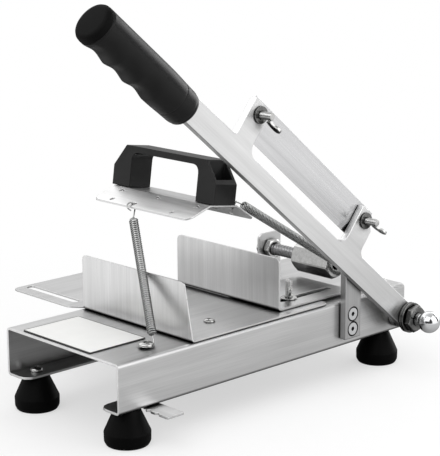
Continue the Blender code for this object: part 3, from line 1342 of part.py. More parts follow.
def pivot_stack():
    x, z = PIVOT_FROM_LEFT, PIVOT_RISE
    bore = PIVOT_BOLT_RADIUS + HOLE_CLEARANCE
    spacer = (ARM_FROM_WALL - GAP * (PIVOT_SPACERS + 1)) / PIVOT_SPACERS
    for number in range(PIVOT_SPACERS):
        place = (x, -(GAP + spacer / 2 + number * (spacer + GAP)), z)
        name = f"pivot_spacer_{number + 1}"
        washer(name, PIVOT_SPACER_RADIUS, bore, spacer, BRIGHT, SLICER, place, FLAT_XZ)
    front = ARM_FRONT
    for number in range(PIVOT_WASHERS):
        front += GAP
        place = (x, -(front + PIVOT_WASHER_SHEET / 2), z)
        name = f"pivot_washer_{number + 1}"
        washer(name, PIVOT_WASHER_RADIUS, bore, PIVOT_WASHER_SHEET, BRIGHT, SLICER, place, FLAT_XZ)
        front += PIVOT_WASHER_SHEET
    front += GAP
    place = (x, -(front + PIVOT_NUT_HEIGHT / 2), z)
    chamfered_nut("pivot_nut", PIVOT_NUT_FLATS, PIVOT_NUT_HEIGHT, bore, BRIGHT, SLICER, place, TO_MINUS_Y)
    front += PIVOT_NUT_HEIGHT + GAP
    ball_nut(front, bore)
    head_back = BASE_SHEET + GAP
    bolt_front = -(front + BALL_BORE_DEPTH - GAP)
    bolt_back = head_back + PIVOT_HEAD_HEIGHT / 2
    middle = (x, (bolt_front + bolt_back) / 2, z)
    bolt = rods("pivot_bolt", [middle], PIVOT_BOLT_RADIUS, bolt_back - bolt_front, BRIGHT, SLICER, FLAT_XZ)
    head = [hexagon(0.0, 0.0, PIVOT_HEAD_FLATS)]
    place = (x, head_back + PIVOT_HEAD_HEIGHT / 2, z)
    unite(bolt, prism("pivot_bolt_head", head, PIVOT_HEAD_HEIGHT, BRIGHT, SLICER, place, FLAT_XZ))


def ball_nut(front, bore):
    """Round knob nut: a short neck, then a ball, bored from its neck."""
    sink = math.acos(BALL_NECK_RADIUS / BALL_RADIUS)
    middle = BALL_NECK_LENGTH + BALL_RADIUS * math.sin(sink)
    turns = [QUARTER - (QUARTER + sink) * step / 8 for step in range(9)]
    ball = [(BALL_RADIUS * math.cos(turn), middle + BALL_RADIUS * math.sin(turn)) for turn in turns]
    ball[0] = (0.0, middle + BALL_RADIUS)
    profile = [*ball, (BALL_NECK_RADIUS, 0.0), (bore, 0.0), (bore, BALL_BORE_DEPTH), (0.0, BALL_BORE_DEPTH)]
    place = (PIVOT_FROM_LEFT, -front, PIVOT_RISE)
    return turned("ball_nut", profile, BRIGHT, SLICER, place, TO_MINUS_Y)


# Post beside the arm


def guide_post():
    low = (POST_LEFT, -GAP - POST_DEPTH, POST_BOTTOM)
    high = (POST_LEFT + POST_WIDTH, -GAP, POST_TOP)
    post = blocks("guide_post", [(low, high)], BRUSHED, SLICER)
    soften(post, POST_EDGE)
    for rise in POST_SCREW_RISES:
        grow = HOLE_CLEARANCE
        radius, head_radius = POST_SCREW_RADIUS + grow, POST_SCREW_HEAD_RADIUS + grow
        profile = countersunk(radius, POST_DEPTH + OVERRUN, head_radius, OVERRUN)
        place = (POST_SCREW_X, -GAP - POST_DEPTH, rise)
        cut(post, turned("post_hole", profile, BRUSHED, SLICER, place, TO_MINUS_Y, NUT_SIDES))
    return post


def countersunk(radius, length, head_radius, above):
    """Profile of a countersunk screw or its hole; the head's rim may run on above the face."""
    head = [(0.0, above), (head_radius, above)]
    if above:
        head.append((head_radius, 0.0))
    return [*head, (radius, radius - head_radius), (radius, -length), (0.0, -length)]


def post_screw(place, rise):
    location = (POST_SCREW_X, -GAP - POST_DEPTH, rise)
    profile = countersunk(POST_SCREW_RADIUS, POST_SCREW_LENGTH, POST_SCREW_HEAD_RADIUS, 0.0)
    screw = turned("post_screw_" + place, profile, BRIGHT, SLICER, location, TO_MINUS_Y, NUT_SIDES)
    outline = [hexagon(0.0, 0.0, POST_HEX_FLATS)]
    cut(screw, prism("post_socket", outline, 2 * POST_HEX_DEPTH, BRIGHT, SLICER, location, FLAT_XZ))


# Tongue below the near flange


def tongue():
    left, right = TONGUE_LEFT, TONGUE_LEFT + TONGUE_WIDTH
    head_left = TONGUE_LEFT - TONGUE_HEAD_OFFSET
    corners = [
        (head_left, -TONGUE_REACH, TONGUE_CORNER),
        (right, -TONGUE_REACH, TONGUE_CORNER),
        (right, TONGUE_TAIL, TONGUE_CORNER),
        (left, TONGUE_TAIL, TONGUE_CORNER),
        (left, 0.0, 0),
        (head_left, 0.0, 0),
    ]
    for out in TONGUE_NOTCHES:
        corners.append((head_left, -out + TONGUE_NOTCH_WIDTH / 2, 0))
        corners.append((head_left + TONGUE_NOTCH_DEPTH, -out, 0))
        corners.append((head_left, -out - TONGUE_NOTCH_WIDTH / 2, 0))
    hole = circle(TONGUE_SCREW_X, TONGUE_SCREW_FROM_NEAR, PAN_SCREW_RADIUS + HOLE_CLEARANCE, SMALL_SIDES)
    place = (0.0, 0.0, -GAP - TONGUE_SHEET / 2)
    prism("tongue", [rounded(corners), hole], TONGUE_SHEET, BRUSHED, SLICER, place)
    plain_pan_screw("tongue_screw", (TONGUE_SCREW_X, TONGUE_SCREW_FROM_NEAR, BASE_SHEET + GAP))


def set_down():
    """Moves the slicer so that the middle of its footprint stands on the origin."""
    bpy.context.view_layer.update()
    graph = bpy.context.evaluated_depsgraph_get()
    corners = []
    for obj in PARTS.objects:
        if obj.type == "EMPTY":
            continue
        shape = obj.evaluated_get(graph)
        mesh = shape.to_mesh()
        corners += [shape.matrix_world @ vertex.co for vertex in mesh.vertices]
        shape.to_mesh_clear()
    low = [min(corner[axis] for corner in corners) for axis in range(3)]
    high = [max(corner[axis] for corner in corners) for axis in range(3)]
    SLICER.location = (-(low[0] + high[0]) / 2, -(low[1] + high[1]) / 2, -low[2])
    bpy.context.view_layer.update()


def main():
    base_channel()
    for place, (x, y) in FOOT_PLACES.items():
        foot(place, x, y)
        foot_screw(place, x, y)
    label_plate()
    tray()
    for place, (x, y) in zip(("near", "far"), TRAY_SCREW_PLACES):
        cross_screw("tray_screw_" + place, (x, y, FLOOR_TOP + GAP))
    right_guide()
    nut_bottom = guide_fastening()
    wings = wing_nut_shape()
    place = (GUIDE_BOLT_X, GUIDE_BOLT_Y, nut_bottom)
    wing_nut(wings, "guide_wing_nut", SLICER, place, (0.0, 0.0, GUIDE_WING_NUT_TURN))
    stud_bracket()
    stud_and_nuts()
    for place, (x, y) in zip(("left", "right"), BRACKET_SCREW_PLACES):
        plain_pan_screw("bracket_screw_" + place, (x, y, FLOOR_BOTTOM + BRACKET_SHEET + GAP))
    spring_screw("left", SPRING_LEFT_ANCHOR)
    spring_screw("right", SPRING_RIGHT_ANCHOR)
    press_saddle()
    press_handle()
    for place, y in zip(("near", "far"), HANDLE_LEG_PLACES):
        handle_screw(place, y)
    left_spring()
    right_spring()
    arm_plate()
    blade()
    blade_fastening(wings)
    grip()
    grip_collar()
    grip_cap()
    pivot_stack()
    guide_post()
    for place, rise in zip(("low", "high"), POST_SCREW_RISES):
        post_screw(place, rise)
    tongue()
    set_down()


main()
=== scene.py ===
import math

import bmesh
import bpy
from bpy.props import FloatProperty, FloatVectorProperty, PointerProperty
from mathutils import Matrix, Vector


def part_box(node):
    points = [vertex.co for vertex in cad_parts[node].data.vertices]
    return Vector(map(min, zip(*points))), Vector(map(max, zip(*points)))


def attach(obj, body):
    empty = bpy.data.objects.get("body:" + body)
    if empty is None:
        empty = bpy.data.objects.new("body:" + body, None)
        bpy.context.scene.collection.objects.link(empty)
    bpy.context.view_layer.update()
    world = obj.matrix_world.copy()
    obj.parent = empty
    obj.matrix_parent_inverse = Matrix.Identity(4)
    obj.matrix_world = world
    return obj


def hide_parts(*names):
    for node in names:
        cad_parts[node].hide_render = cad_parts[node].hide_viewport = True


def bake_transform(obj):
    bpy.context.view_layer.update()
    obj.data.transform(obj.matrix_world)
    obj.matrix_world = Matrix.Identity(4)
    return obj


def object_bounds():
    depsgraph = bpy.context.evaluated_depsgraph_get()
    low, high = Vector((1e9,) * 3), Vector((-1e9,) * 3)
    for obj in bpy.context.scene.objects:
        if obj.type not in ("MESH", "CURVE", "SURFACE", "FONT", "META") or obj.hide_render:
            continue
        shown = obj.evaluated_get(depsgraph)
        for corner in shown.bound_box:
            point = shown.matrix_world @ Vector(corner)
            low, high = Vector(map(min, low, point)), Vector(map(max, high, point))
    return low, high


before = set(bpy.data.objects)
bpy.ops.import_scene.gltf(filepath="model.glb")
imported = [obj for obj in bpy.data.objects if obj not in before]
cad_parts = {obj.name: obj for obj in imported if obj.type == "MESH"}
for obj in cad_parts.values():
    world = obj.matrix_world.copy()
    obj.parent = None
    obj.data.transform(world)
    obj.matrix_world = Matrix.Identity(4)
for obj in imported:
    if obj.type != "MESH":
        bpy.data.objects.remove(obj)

bl_info = {
    "name": "Frozen meat slicer",
    "version": (1, 0, 0),
    "blender": (4, 5, 0),
    "location": "View3D > Sidebar > Slicer",
    "description": "Dresses the solids of a hand lever slicer and sets its studio",
    "category": "Object",
}

CAD_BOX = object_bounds()
MM = 0.001
FULL = 2 * math.pi
# Points that lie closer than this are one
MERGE = 1e-6
ROUND_SIDES = 64
HEX_SIDES = 96
ROUNDING_STEPS = 4

# The slicer's own corner: left end of the base, near wall's outer face, underside of its flanges
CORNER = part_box("base_channel")[0]
ARM_RISE = math.radians(39.6)

ALONG_X = Vector((1.0, 0.0, 0.0))
OUTWARD = Vector((0.0, -1.0, 0.0))
UPWARD = Vector((0.0, 0.0, 1.0))
ARM_LINE = Vector((-math.cos(ARM_RISE), 0.0, math.sin(ARM_RISE)))

# Lamps: azimuth from the front towards the right and elevation in degrees, distance, size, watts
# and whether reflections show it
LAMPS = {
    "key_lamp": (-70, 48, 1.5, 1.5, 12.0, True),
    "fill_lamp": (25, 35, 1.6, 1.4, 5.0, True),
    "top_lamp": (150, 75, 1.5, 1.6, 6.0, False),
    "rim_lamp": (88, 10, 1.2, 0.8, 6.0, True),
}
WHITE = (1.0, 1.0, 1.0, 1.0)
# How brightly the room lights what isn't seen in a reflection
AMBIENT = 0.52
# Cards that reflections see: the way to each, the cosines of its outer and inner edge, its tone
CARDS = (
    ((-0.80, -0.55, 0.22), 0.72, 0.82, 0.05),
    ((0.93, -0.15, 0.33), 0.80, 0.88, 0.05),
    ((0.0, 0.0, 1.0), 0.66, 0.90, 0.50),
)
# Room that reflections see. Each ramp holds two values and the number that it gives at each: the
# first two go by the slope, which grows upwards and to the front, the others by the way's x or y
ROOM_SLOPE = (0.0, -0.5, 1.0)
ROOM_LOW = (-0.6, -0.1, 0.26, 0.60)
ROOM_HIGH = (-0.1, 0.25, 0.0, 0.76)
ROOM_LIFT = (0.66, 0.42, 0.0, 0.36)
ROOM_BEHIND = (0.1, 0.4, 0.0, 1.0)
ROOM_INWARD = (-0.8, -0.6, 0.0, 1.0)
# Floor, as such ramps over metres from the slicer's middle: how much it glows to the eye, then
# what reflections see of it
FLOOR_GLOW = (0.20, 0.50, 0.58, 1.0)
FLOOR_NEAR_FRONT = (-0.07, -0.15, 0.08, 0.62)
FLOOR_FAR_FRONT = (-0.30, -0.60, 0.0, 0.52)
FLOOR_LEFT = (-0.12, -0.26, 0.08, 1.35)
FLOOR_BEHIND = (-0.2, 0.0, 0.3, 1.0)
FLOOR_MIRRORED_GLOW = 0.85
FLOOR_HALF = 4.0
FLOOR_GAP = 0.1
# Camera: azimuth, elevation and roll in degrees, place from the slicer's corner in millimetres
CAMERA_ANGLES = (-43.63, 13.06, -0.30)
CAMERA_PLACE = (-668.8, -808.2, 382.6)
CAMERA_LENS, CAMERA_SENSOR = 120.8, 36.0

# Thread of the small screws: depth and pitch
SCREW_THREAD = (0.45, 0.8)
# Domed screws: radius and height of the head, radius of the shank
SHEET_SCREW = (4.5, 2.2, 2.0)
SPRING_SCREW = (6.0, 3.0, 2.5)
FOOT_SCREW = (5.0, 3.2, 2.0)
# Corners of a foot, from its top down and in, and of a nut's wing, from the hub out and back
FOOT_CORNERS = (
    (0.0, -0.3, 0), (9.6, -0.3, 0.8), (17.75, -18.3, 0.5), (17.6, -25.4, 1.0),
    (16.0, -28.3, 0.9), (9.0, -28.3, 0.4), (8.4, -27.5, 0.4), (0.0, -27.5, 0),
)
WING_CORNERS = (
    (4.0, 1.6, 0), (9.5, 2.6, 3.0), (16.2, 6.5, 2.6), (16.2, 11.4, 2.4),
    (12.2, 11.4, 2.2), (8.4, 6.6, 2.6), (4.0, 5.9, 0),
)


def linear(hex_colour):
    """sRGB hex text to a linear colour with full alpha."""
    parts = [int(hex_colour[index : index + 2], 16) / 255 for index in (1, 3, 5)]
    curve = [part / 12.92 if part <= 0.04045 else ((part + 0.055) / 1.055) ** 2.4 for part in parts]
    return (*curve, 1.0)


def colour_choice(name, hex_colour, description):
    settings = {"subtype": "COLOR", "size": 4, "min": 0.0, "max": 1.0}
    return FloatVectorProperty(
        name=name, description=description, default=linear(hex_colour), **settings
    )


def length_choice(name, size, description):
    return FloatProperty(
        name=name, description=description, default=size * MM, unit="LENGTH", precision=5, min=0.0
    )


class SlicerColours(bpy.types.PropertyGroup):
    """Colours of the slicer's metals, plastics and rubber."""

    sheet_steel: colour_choice("Sheet steel", "#D2D2D2", "Brushed stainless sheet of base and tray")
    arm_steel: colour_choice("Arm steel", "#E2E2E2", "Brushed stainless plate of the arm")
    post_steel: colour_choice("Post steel", "#BEBEBE", "Brushed flat bar of the post")
    blade_steel: colour_choice("Blade steel", "#D2D2D3", "Ground blade")
    # Painted light: a lighter copy of the sheet's colour for the press
    lit_press_steel: colour_choice("Press steel", "#DEDEDE", "Brushed stainless sheet of the press")
    plated_steel: colour_choice("Plated steel", "#C0C0BF", "Bright zinc plate of nuts and screws")
    oiled_steel: colour_choice("Oiled steel", "#757574", "Oiled washers and pivot nut")
    chrome: colour_choice("Chrome", "#DCDDDE", "Chrome plate of the ball nut")
    spring_steel: colour_choice("Spring steel", "#B4B5B4", "Zinc plated spring wire")
    # The stud's dark look comes from painted shade in its thread's valleys
    stud_steel: colour_choice("Stud steel", "#8E8E8F", "Blackened threaded stud with worn crests")
    grip_black: colour_choice("Grip black", "#0A0A0A", "Moulded grip")
    handle_black: colour_choice("Handle black", "#131313", "Moulded press handle")
    foot_black: colour_choice("Foot black", "#050505", "Rubber feet")
    plate_white: colour_choice("Plate white", "#F2F2F0", "Lacquered label plate")
    floor_white: colour_choice("Floor white", "#F4F4F4", "Studio floor")


class SlicerSizes(bpy.types.PropertyGroup):
    """Sizes of the shapes that this file makes itself."""

    spring_wire: length_choice("Spring wire", 1.1, "Thickness of the spring wire")
    spring_pitch: length_choice("Spring pitch", 1.75, "Distance between one turn and the next")
    spring_radius: length_choice("Spring radius", 3.1, "Radius to the middle of the wire")
    sheet_rounding: length_choice("Sheet rounding", 0.3, "Rounding of cut sheet edges")
    bar_rounding: length_choice("Bar rounding", 0.5, "Rounding of the arm's edges")
    small_pitch: length_choice("Small pitch", 1.0, "Pitch of the wing nuts' bolts")
    stud_pitch: length_choice("Stud pitch", 3.3, "Pitch of the stud's thread")
    groove_depth: length_choice("Groove depth", 2.1, "Depth of the grip's finger grooves")


def sizes():
    return bpy.context.scene.slicer_sizes


def colours():
    return bpy.context.scene.slicer_colours


# Places, in millimetres from the slicer's corner


def at(x, y, z):
    return CORNER + Vector((x, y, z)) * MM


def extent(node):
    """Low corner, high corner and middle of a solid's box."""
    low, high = ((corner - CORNER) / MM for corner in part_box(node))
    return low, high, (low + high) / 2


PIVOT = extent("pivot_bolt")[2]


def facing(origin, axis, across, turn=0.0):
    """Matrix whose z runs along axis and whose x runs across it, turned round z."""
    up = Vector(axis).normalized()
    side = Vector(across) - up * up.dot(Vector(across))
    side.normalize()
    matrix = Matrix((side, up.cross(side), up)).transposed().to_4x4()
    matrix.translation = origin
    return matrix @ Matrix.Rotation(turn, 4, "Z")


def upright(x, y, z, turn=0.0):
    return facing(at(x, y, z), UPWARD, ALONG_X, turn)


def outward(x, y, z, turn=0.0):
    """Place that faces out from the near wall."""
    return facing(at(x, y, z), OUTWARD, ALONG_X, turn)


def inward(x, y, z, turn=0.0):
    """Place that faces from the near wall to the far one."""
    return facing(at(x, y, z), -OUTWARD, ALONG_X, turn)


def arm_spot(along, out, rise):
    """Place on the arm: along it from the pivot, out from the base's wall, and across it."""
    x = PIVOT.x - along * math.cos(ARM_RISE) + rise * math.sin(ARM_RISE)
    z = PIVOT.z + along * math.sin(ARM_RISE) + rise * math.cos(ARM_RISE)
    return at(x, -out, z)


def out_from_arm(along, out, rise, turn=0.0):
    return facing(arm_spot(along, out, rise), OUTWARD, ARM_LINE, turn)


# Shapes, as points in millimetres and faces


def soft_corners(corners):
    """Outline through (x, y, rounding) corners, each eased over its own rounding."""
    outline = []
    for index, (x, y, rounding) in enumerate(corners):
        here = Vector((x, y))
        if not rounding:
            outline.append((x, y))
            continue
        back = (Vector(corners[index - 1][:2]) - here).normalized() * rounding
        ahead = (Vector(corners[(index + 1) % len(corners)][:2]) - here).normalized() * rounding
        for step in range(ROUNDING_STEPS + 1):
            share = step / ROUNDING_STEPS
            outline.append(tuple(here + back * (1 - share) ** 2 + ahead * share**2))
    return outline


def rows_to_faces(rows, columns, around):
    """Quads between rows of points, closed round each row if asked."""
    faces = []
    for row in range(rows - 1):
        for column in range(columns if around else columns - 1):
            follow = (column + 1) % columns
            low, high = row * columns, (row + 1) * columns
            faces.append((low + column, low + follow, high + follow, high + column))
    return faces


def closed_faces(rows, columns):
    """Quads between closed rows of points, and a face over the first and the last row."""
    last = (rows - 1) * columns
    ends = [tuple(range(columns)), tuple(range(last + columns - 1, last - 1, -1))]
    return rows_to_faces(rows, columns, True) + ends


def turned(profile, sides=ROUND_SIDES, flats=0.0):
    """Profile of (radius, height) turned round z; flats holds it inside a hexagon that wide."""
    points = []
    for radius, height in profile:
        for step in range(sides):
            turn = FULL * step / sides
            reach = radius
            if flats:
                reach = min(radius, flats / 2 / math.cos(turn % (FULL / 6) - FULL / 12))
            points.append((reach * math.cos(turn), reach * math.sin(turn), height))
    return points, rows_to_faces(len(profile), sides, True)


def threaded(crest, depth, pitch, low, high, sides=32, grades=4):
    """Rod with a helical thread between two heights, its ends chamfered."""
    first = math.floor(low / pitch) - 1
    rows = (math.ceil(high / pitch) - first) * grades + 1
    points = []
    for row in range(rows):
        for step in range(sides + 1):
            height = (first + row / grades + step / sides) * pitch
            height = min(max(height, low), high)
            phase = (height / pitch - step / sides) % 1.0
            reach = crest - depth * (1 - math.cos(FULL * phase)) / 2
            reach = min(reach, crest - depth + min(height - low, high - height))
            turn = FULL * step / sides
            points.append((reach * math.cos(turn), reach * math.sin(turn), height))
    faces = rows_to_faces(rows, sides + 1, False)
    for row, height in ((0, low), (rows - 1, high)):
        middle = len(points)
        points.append((0.0, 0.0, height))
        start = row * (sides + 1)
        faces += [(start + step, start + step + 1, middle) for step in range(sides)]
    return points, faces


def drawn_out(outline, depth):
    """Outline of (x, z) drawn out along y, half of depth to each side."""
    count = len(outline)
    points = [(x, side * depth / 2, z) for side in (-1, 1) for x, z in outline]
    faces = [tuple(range(count)), tuple(range(2 * count - 1, count - 1, -1))]
    for index in range(count):
        follow = (index + 1) % count
        faces.append((index, follow, count + follow, count + index))
    return points, faces


def tube(path, radius, sides=8):
    """Round wire along a path of points in the row frame, in metres, with closed ends."""
    points = []
    ahead = (path[1] - path[0]).normalized()
    side = ahead.orthogonal().normalized()
    for index, here in enumerate(path):
        before, after = path[max(index - 1, 0)], path[min(index + 1, len(path) - 1)]
        ahead = (after - before).normalized()
        side = (side - ahead * side.dot(ahead)).normalized()
        other = ahead.cross(side)
        for step in range(sides):
            turn = FULL * step / sides
            points.append(here + (side * math.cos(turn) + other * math.sin(turn)) * radius)
    return points, closed_faces(len(path), sides)


def solid(name, shapes, place=None):
    """Mesh object made of closed shapes; their points are in millimetres where a place is given."""
    work = bmesh.new()
    for points, faces in shapes:
        if place:
            points = [place @ (Vector(point) * MM) for point in points]
        made = [work.verts.new(point) for point in points]
        for face in faces:
            work.faces.new([made[index] for index in face])
        bmesh.ops.remove_doubles(work, verts=made, dist=MERGE)
    bmesh.ops.recalc_face_normals(work, faces=work.faces)
    for face in work.faces:
        face.smooth = True
    mesh = bpy.data.meshes.new(name)
    work.to_mesh(mesh)
    work.free()
    obj = bpy.data.objects.new(name, mesh)
    bpy.context.scene.collection.objects.link(obj)
    return obj


def combine(obj, other, operation):
    """Joins other to obj or cuts it away, and keeps the result as obj's mesh."""
    modifier = obj.modifiers.new(operation.lower(), "BOOLEAN")
    modifier.operation, modifier.object, modifier.solver = operation, other, "EXACT"
    graph = bpy.context.evaluated_depsgraph_get()
    obj.data = bpy.data.meshes.new_from_object(obj.evaluated_get(graph))
    obj.modifiers.clear()
    bpy.data.objects.remove(other)


def round_edges(obj, width, least_degrees=35):
    """Merges flat facets, rounds every edge sharper than the least angle and evens the shading."""
    weld = obj.modifiers.new("weld", "WELD")
    weld.merge_threshold = MERGE * 5
    flats = obj.modifiers.new("flats", "DECIMATE")
    flats.decimate_type, flats.angle_limit = "DISSOLVE", math.radians(1)
    bevel = obj.modifiers.new("rounding", "BEVEL")
    bevel.width, bevel.segments = width, 2
    bevel.limit_method, bevel.angle_limit = "ANGLE", math.radians(least_degrees)
    bevel.use_clamp_overlap = False
    smooth = obj.modifiers.new("smooth", "NODES")
    smooth.node_group = smooth_faces()
    even_shading(obj)


def even_shading(obj):
    normals = obj.modifiers.new("normals", "WEIGHTED_NORMAL")
    normals.weight, normals.keep_sharp = 80, False


def smooth_faces():
    """Node group that marks every face smooth."""
    group = bpy.data.node_groups.get("smooth_faces")
    if group:
        return group
    group = bpy.data.node_groups.new("smooth_faces", "GeometryNodeTree")
    group.interface.new_socket("Geometry", in_out="INPUT", socket_type="NodeSocketGeometry")
    group.interface.new_socket("Geometry", in_out="OUTPUT", socket_type="NodeSocketGeometry")
    source = add(group, "NodeGroupInput")
    smooth = add(group, "GeometryNodeSetShadeSmooth", {"Geometry": source.outputs[0]})
    add(group, "NodeGroupOutput", {0: smooth.outputs[0]})
    return group


def finish_piece(obj, material, slot, body, *replaced):
    """Gives a new piece its material, its body and the solids that it stands for."""
    obj.data.materials.clear()
    obj.data.materials.append(material)
    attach(obj, body)
    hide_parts(*replaced)


def piece(node, name, shapes, place, material, body="base", slot="bright_steel"):
    """New piece made of closed shapes, in place of one solid."""
    obj = solid(name, shapes, place)
    even_shading(obj)
    finish_piece(obj, material, slot, body, node)


def dress_node(name, material, width):
    """Keeps a solid as it is, with rounded edges and its own material."""
    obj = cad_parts[name]
    for holder in obj.material_slots:
        holder.material = material
    round_edges(obj, width)


# Materials


def add(tree, kind, sockets=None, **settings):
    """Adds a node with its settings; each socket takes a value or another node's output."""
    node = tree.nodes.new(kind)
    for name, value in settings.items():
        setattr(node, name, value)
    for key, value in (sockets or {}).items():
        if isinstance(value, bpy.types.NodeSocket):
            tree.links.new(value, node.inputs[key])
        else:
            node.inputs[key].default_value = value
    return node


def maths(tree, operation, *values):
    """Number worked out from others."""
    return add(tree, "ShaderNodeMath", dict(enumerate(values)), operation=operation).outputs[0]


def vector_maths(tree, operation, *values):
    """Vector worked out from others."""
    sockets = dict(enumerate(values))
    return add(tree, "ShaderNodeVectorMath", sockets, operation=operation).outputs[0]


def measured(tree, operation, *values):
    """Length of a vector, or dot product of two."""
    node = add(tree, "ShaderNodeVectorMath", dict(enumerate(values)), operation=operation)
    return node.outputs["Value"]


def ramp(tree, value, low, high, start, end, **settings):
    """Number that runs from start to end while the value runs from low to high."""
    sockets = {"Value": value, 1: low, 2: high, 3: start, 4: end}
    return add(tree, "ShaderNodeMapRange", sockets, **settings).outputs[0]


def mixed(tree, share, low, high):
    """Number that runs from low to high with the share."""
    return add(tree, "ShaderNodeMix", {0: share, 2: low, 3: high}).outputs[0]


def varied(tree, factor, spread, middle):
    """Number that the factor spreads about the middle."""
    return maths(tree, "MULTIPLY_ADD", factor, spread, middle - spread / 2)


def noise(tree, place, scale, detail):
    sockets = {"Vector": place, "Scale": scale, "Detail": detail}
    return add(tree, "ShaderNodeTexNoise", sockets).outputs[0]


def relief(tree, height, depth):
    """Normal that follows the height, to a depth in millimetres."""
    sockets = {"Height": height, "Strength": 1.0, "Distance": depth * MM}
    return add(tree, "ShaderNodeBump", sockets).outputs[0]


def coordinates(tree, output="Object"):
    return add(tree, "ShaderNodeTexCoord").outputs[output]


def new_material(name):
    """The material of that name, and its empty tree if it still has to be made."""
    material = bpy.data.materials.get(name)
    if material:
        return material, None
    material = bpy.data.materials.new(name)
    material.use_nodes = True
    material.node_tree.nodes.clear()
    return material, material.node_tree


def toned(tree, colour, value, low, high, start, end):
    """The colour times a number that runs from start to end as the value goes from low to high."""
    sockets = {0: colour, "Scale": ramp(tree, value, low, high, start, end)}
    return add(tree, "ShaderNodeVectorMath", sockets, operation="SCALE").outputs[0]


def shaded(tree, colour, factor, dark, light):
    """The colour times a share that runs from dark to light with the factor."""
    return toned(tree, tuple(colour)[:3], factor, 0.3, 0.7, dark, light)


def painted_crevice_shade(tree, colour, distance, dark):
    """The colour with painted shade where other faces stand closer than the distance."""
    node = add(tree, "ShaderNodeAmbientOcclusion", {"Distance": distance * MM}, samples=6)
    return toned(tree, colour, node.outputs["AO"], 0.25, 0.85, dark, 1.0)


def painted_shade_below(tree, colour, dark):
    """The colour with painted shade on faces that look down."""
    height = add(tree, "ShaderNodeSeparateXYZ", {0: coordinates(tree, "Normal")}).outputs[2]
    return toned(tree, colour, height, -0.5, -0.05, dark, 1.0)


def painted_shade_rings(tree, colour, place, shade_ring_spots, radius, half_width):
    """The colour with a painted ring of shade round each spot on a face that looks along y."""
    for spot in shade_ring_spots:
        offset = vector_maths(tree, "SUBTRACT", place, tuple(spot))
        flat = vector_maths(tree, "MULTIPLY", offset, (1.0, 0.0, 1.0))
        reach = measured(tree, "LENGTH", flat)
        on_shade_ring = maths(tree, "COMPARE", reach, radius * MM, half_width * MM)
        colour = toned(tree, colour, on_shade_ring, 0.0, 1.0, 1.0, 0.05)
    return colour


def principled_surface(tree, sockets):
    """Ends a material's tree with one shader."""
    shader = add(tree, "ShaderNodeBsdfPrincipled", sockets)
    add(tree, "ShaderNodeOutputMaterial", {"Surface": shader.outputs[0]})


def grained_metal(
    name, colour, lines, roughness, turn=0.0, stretch=0.5, line_width=0.7, depth=0.010,
    shade_ring_spots=(), slope_highlight=1.0,
):
    """Metal with fine lines left by a belt or a wheel.

    lines holds 1 for each axis that the lines run along and 0 for each that they lie across;
    shade_ring_spots are the middles of countersinks with a painted ring of shade round them;
    slope_highlight scales the colour of the faces that don't look straight at the cutting side,
    a painted highlight where it is above 1. The colour also has painted shade in crevices and
    on faces that look down.
    """
    material, tree = new_material(name)
    if not tree:
        return material
    line_length = 45.0
    run, across = 1 / (line_length * MM), 1 / (line_width * MM)
    place = coordinates(tree)
    to_lines = {"Vector": place, "Rotation": (0.0, turn, 0.0)}
    level = add(tree, "ShaderNodeMapping", to_lines).outputs[0]
    grains = []
    for run_scale, across_scale, detail in ((run, across, 3.0), (run / 3, across / 9, 2.0)):
        scale = [run_scale if line else across_scale for line in lines]
        grain_place = add(tree, "ShaderNodeMapping", {"Vector": level, "Scale": scale}).outputs[0]
        grains.append(noise(tree, grain_place, scale=1.0, detail=detail))
    fine, broad = grains
    streak = maths(tree, "MULTIPLY", maths(tree, "ADD", fine, broad), 0.5)
    smudge = noise(tree, place, scale=28.0, detail=3.0)
    polish = varied(tree, smudge, spread=0.10, middle=roughness)
    line = ARM_LINE if turn else Vector(lines).normalized()
    tangent = add(
        tree,
        "ShaderNodeVectorTransform",
        {0: tuple(line)},
        vector_type="VECTOR",
        convert_from="OBJECT",
        convert_to="WORLD",
    ).outputs[0]
    tone = shaded(tree, colour, streak, dark=0.84, light=1.08)
    # Painted shade in crevices and on faces that look down
    tone = painted_shade_below(tree, painted_crevice_shade(tree, tone, distance=4.0, dark=0.25), dark=0.45)
    # Painted highlight: faces that don't look straight out get a brighter colour
    if slope_highlight != 1.0:
        straight = measured(tree, "DOT_PRODUCT", coordinates(tree, "Normal"), tuple(OUTWARD))
        tone = toned(tree, tone, straight, 0.976, 0.996, slope_highlight, 1.0)
    principled_surface(
        tree,
        {
            # Painted rings of shade round the countersinks
            "Base Color": painted_shade_rings(tree, tone, place, shade_ring_spots, radius=5.85, half_width=0.6),
            "Metallic": 1.0,
            "Roughness": maths(tree, "MULTIPLY_ADD", fine, 0.16, polish),
            "Anisotropic": stretch,
            "Anisotropic Rotation": 0.25,
            "Tangent": tangent,
            "Normal": relief(tree, fine, depth),
        },
    )
    return material


def sheet_along_base():
    # Cold rolled 304 stainless sheet, belt brushed along the base: long soft streaks, drawn
    # 0.7 mm wide because the real 0.1 mm scratches are too fine to show
    return grained_metal("belt_brushed_stainless_sheet", colours().sheet_steel, (1, 0, 0), 0.26)


def sheet_bent():
    # The same sheet where it was bent up out of the base's plane: the lines follow the bend
    return grained_metal(
        "belt_brushed_stainless_bent_sheet", colours().sheet_steel, (1, 0, 1), 0.24
    )


def sheet_along_press():
    # The same sheet, its colour painted a little lighter as painted light, its lines across the
    # base, for the press and the tongue
    return grained_metal(
        "belt_brushed_stainless_press_sheet", colours().lit_press_steel, (0, 1, 0), 0.27
    )


def bar_upright():
    # Brushed stainless flat bar, its lines running up the post, with painted rings of shade round
    # its screws
    boxes = [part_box("post_screw_" + name) for name in ("low", "high")]
    shade_ring_spots = [(low + high) / 2 for low, high in boxes]
    return grained_metal(
        "brushed_stainless_flat_bar", colours().post_steel, (0, 0, 1), 0.24, shade_ring_spots=shade_ring_spots
    )


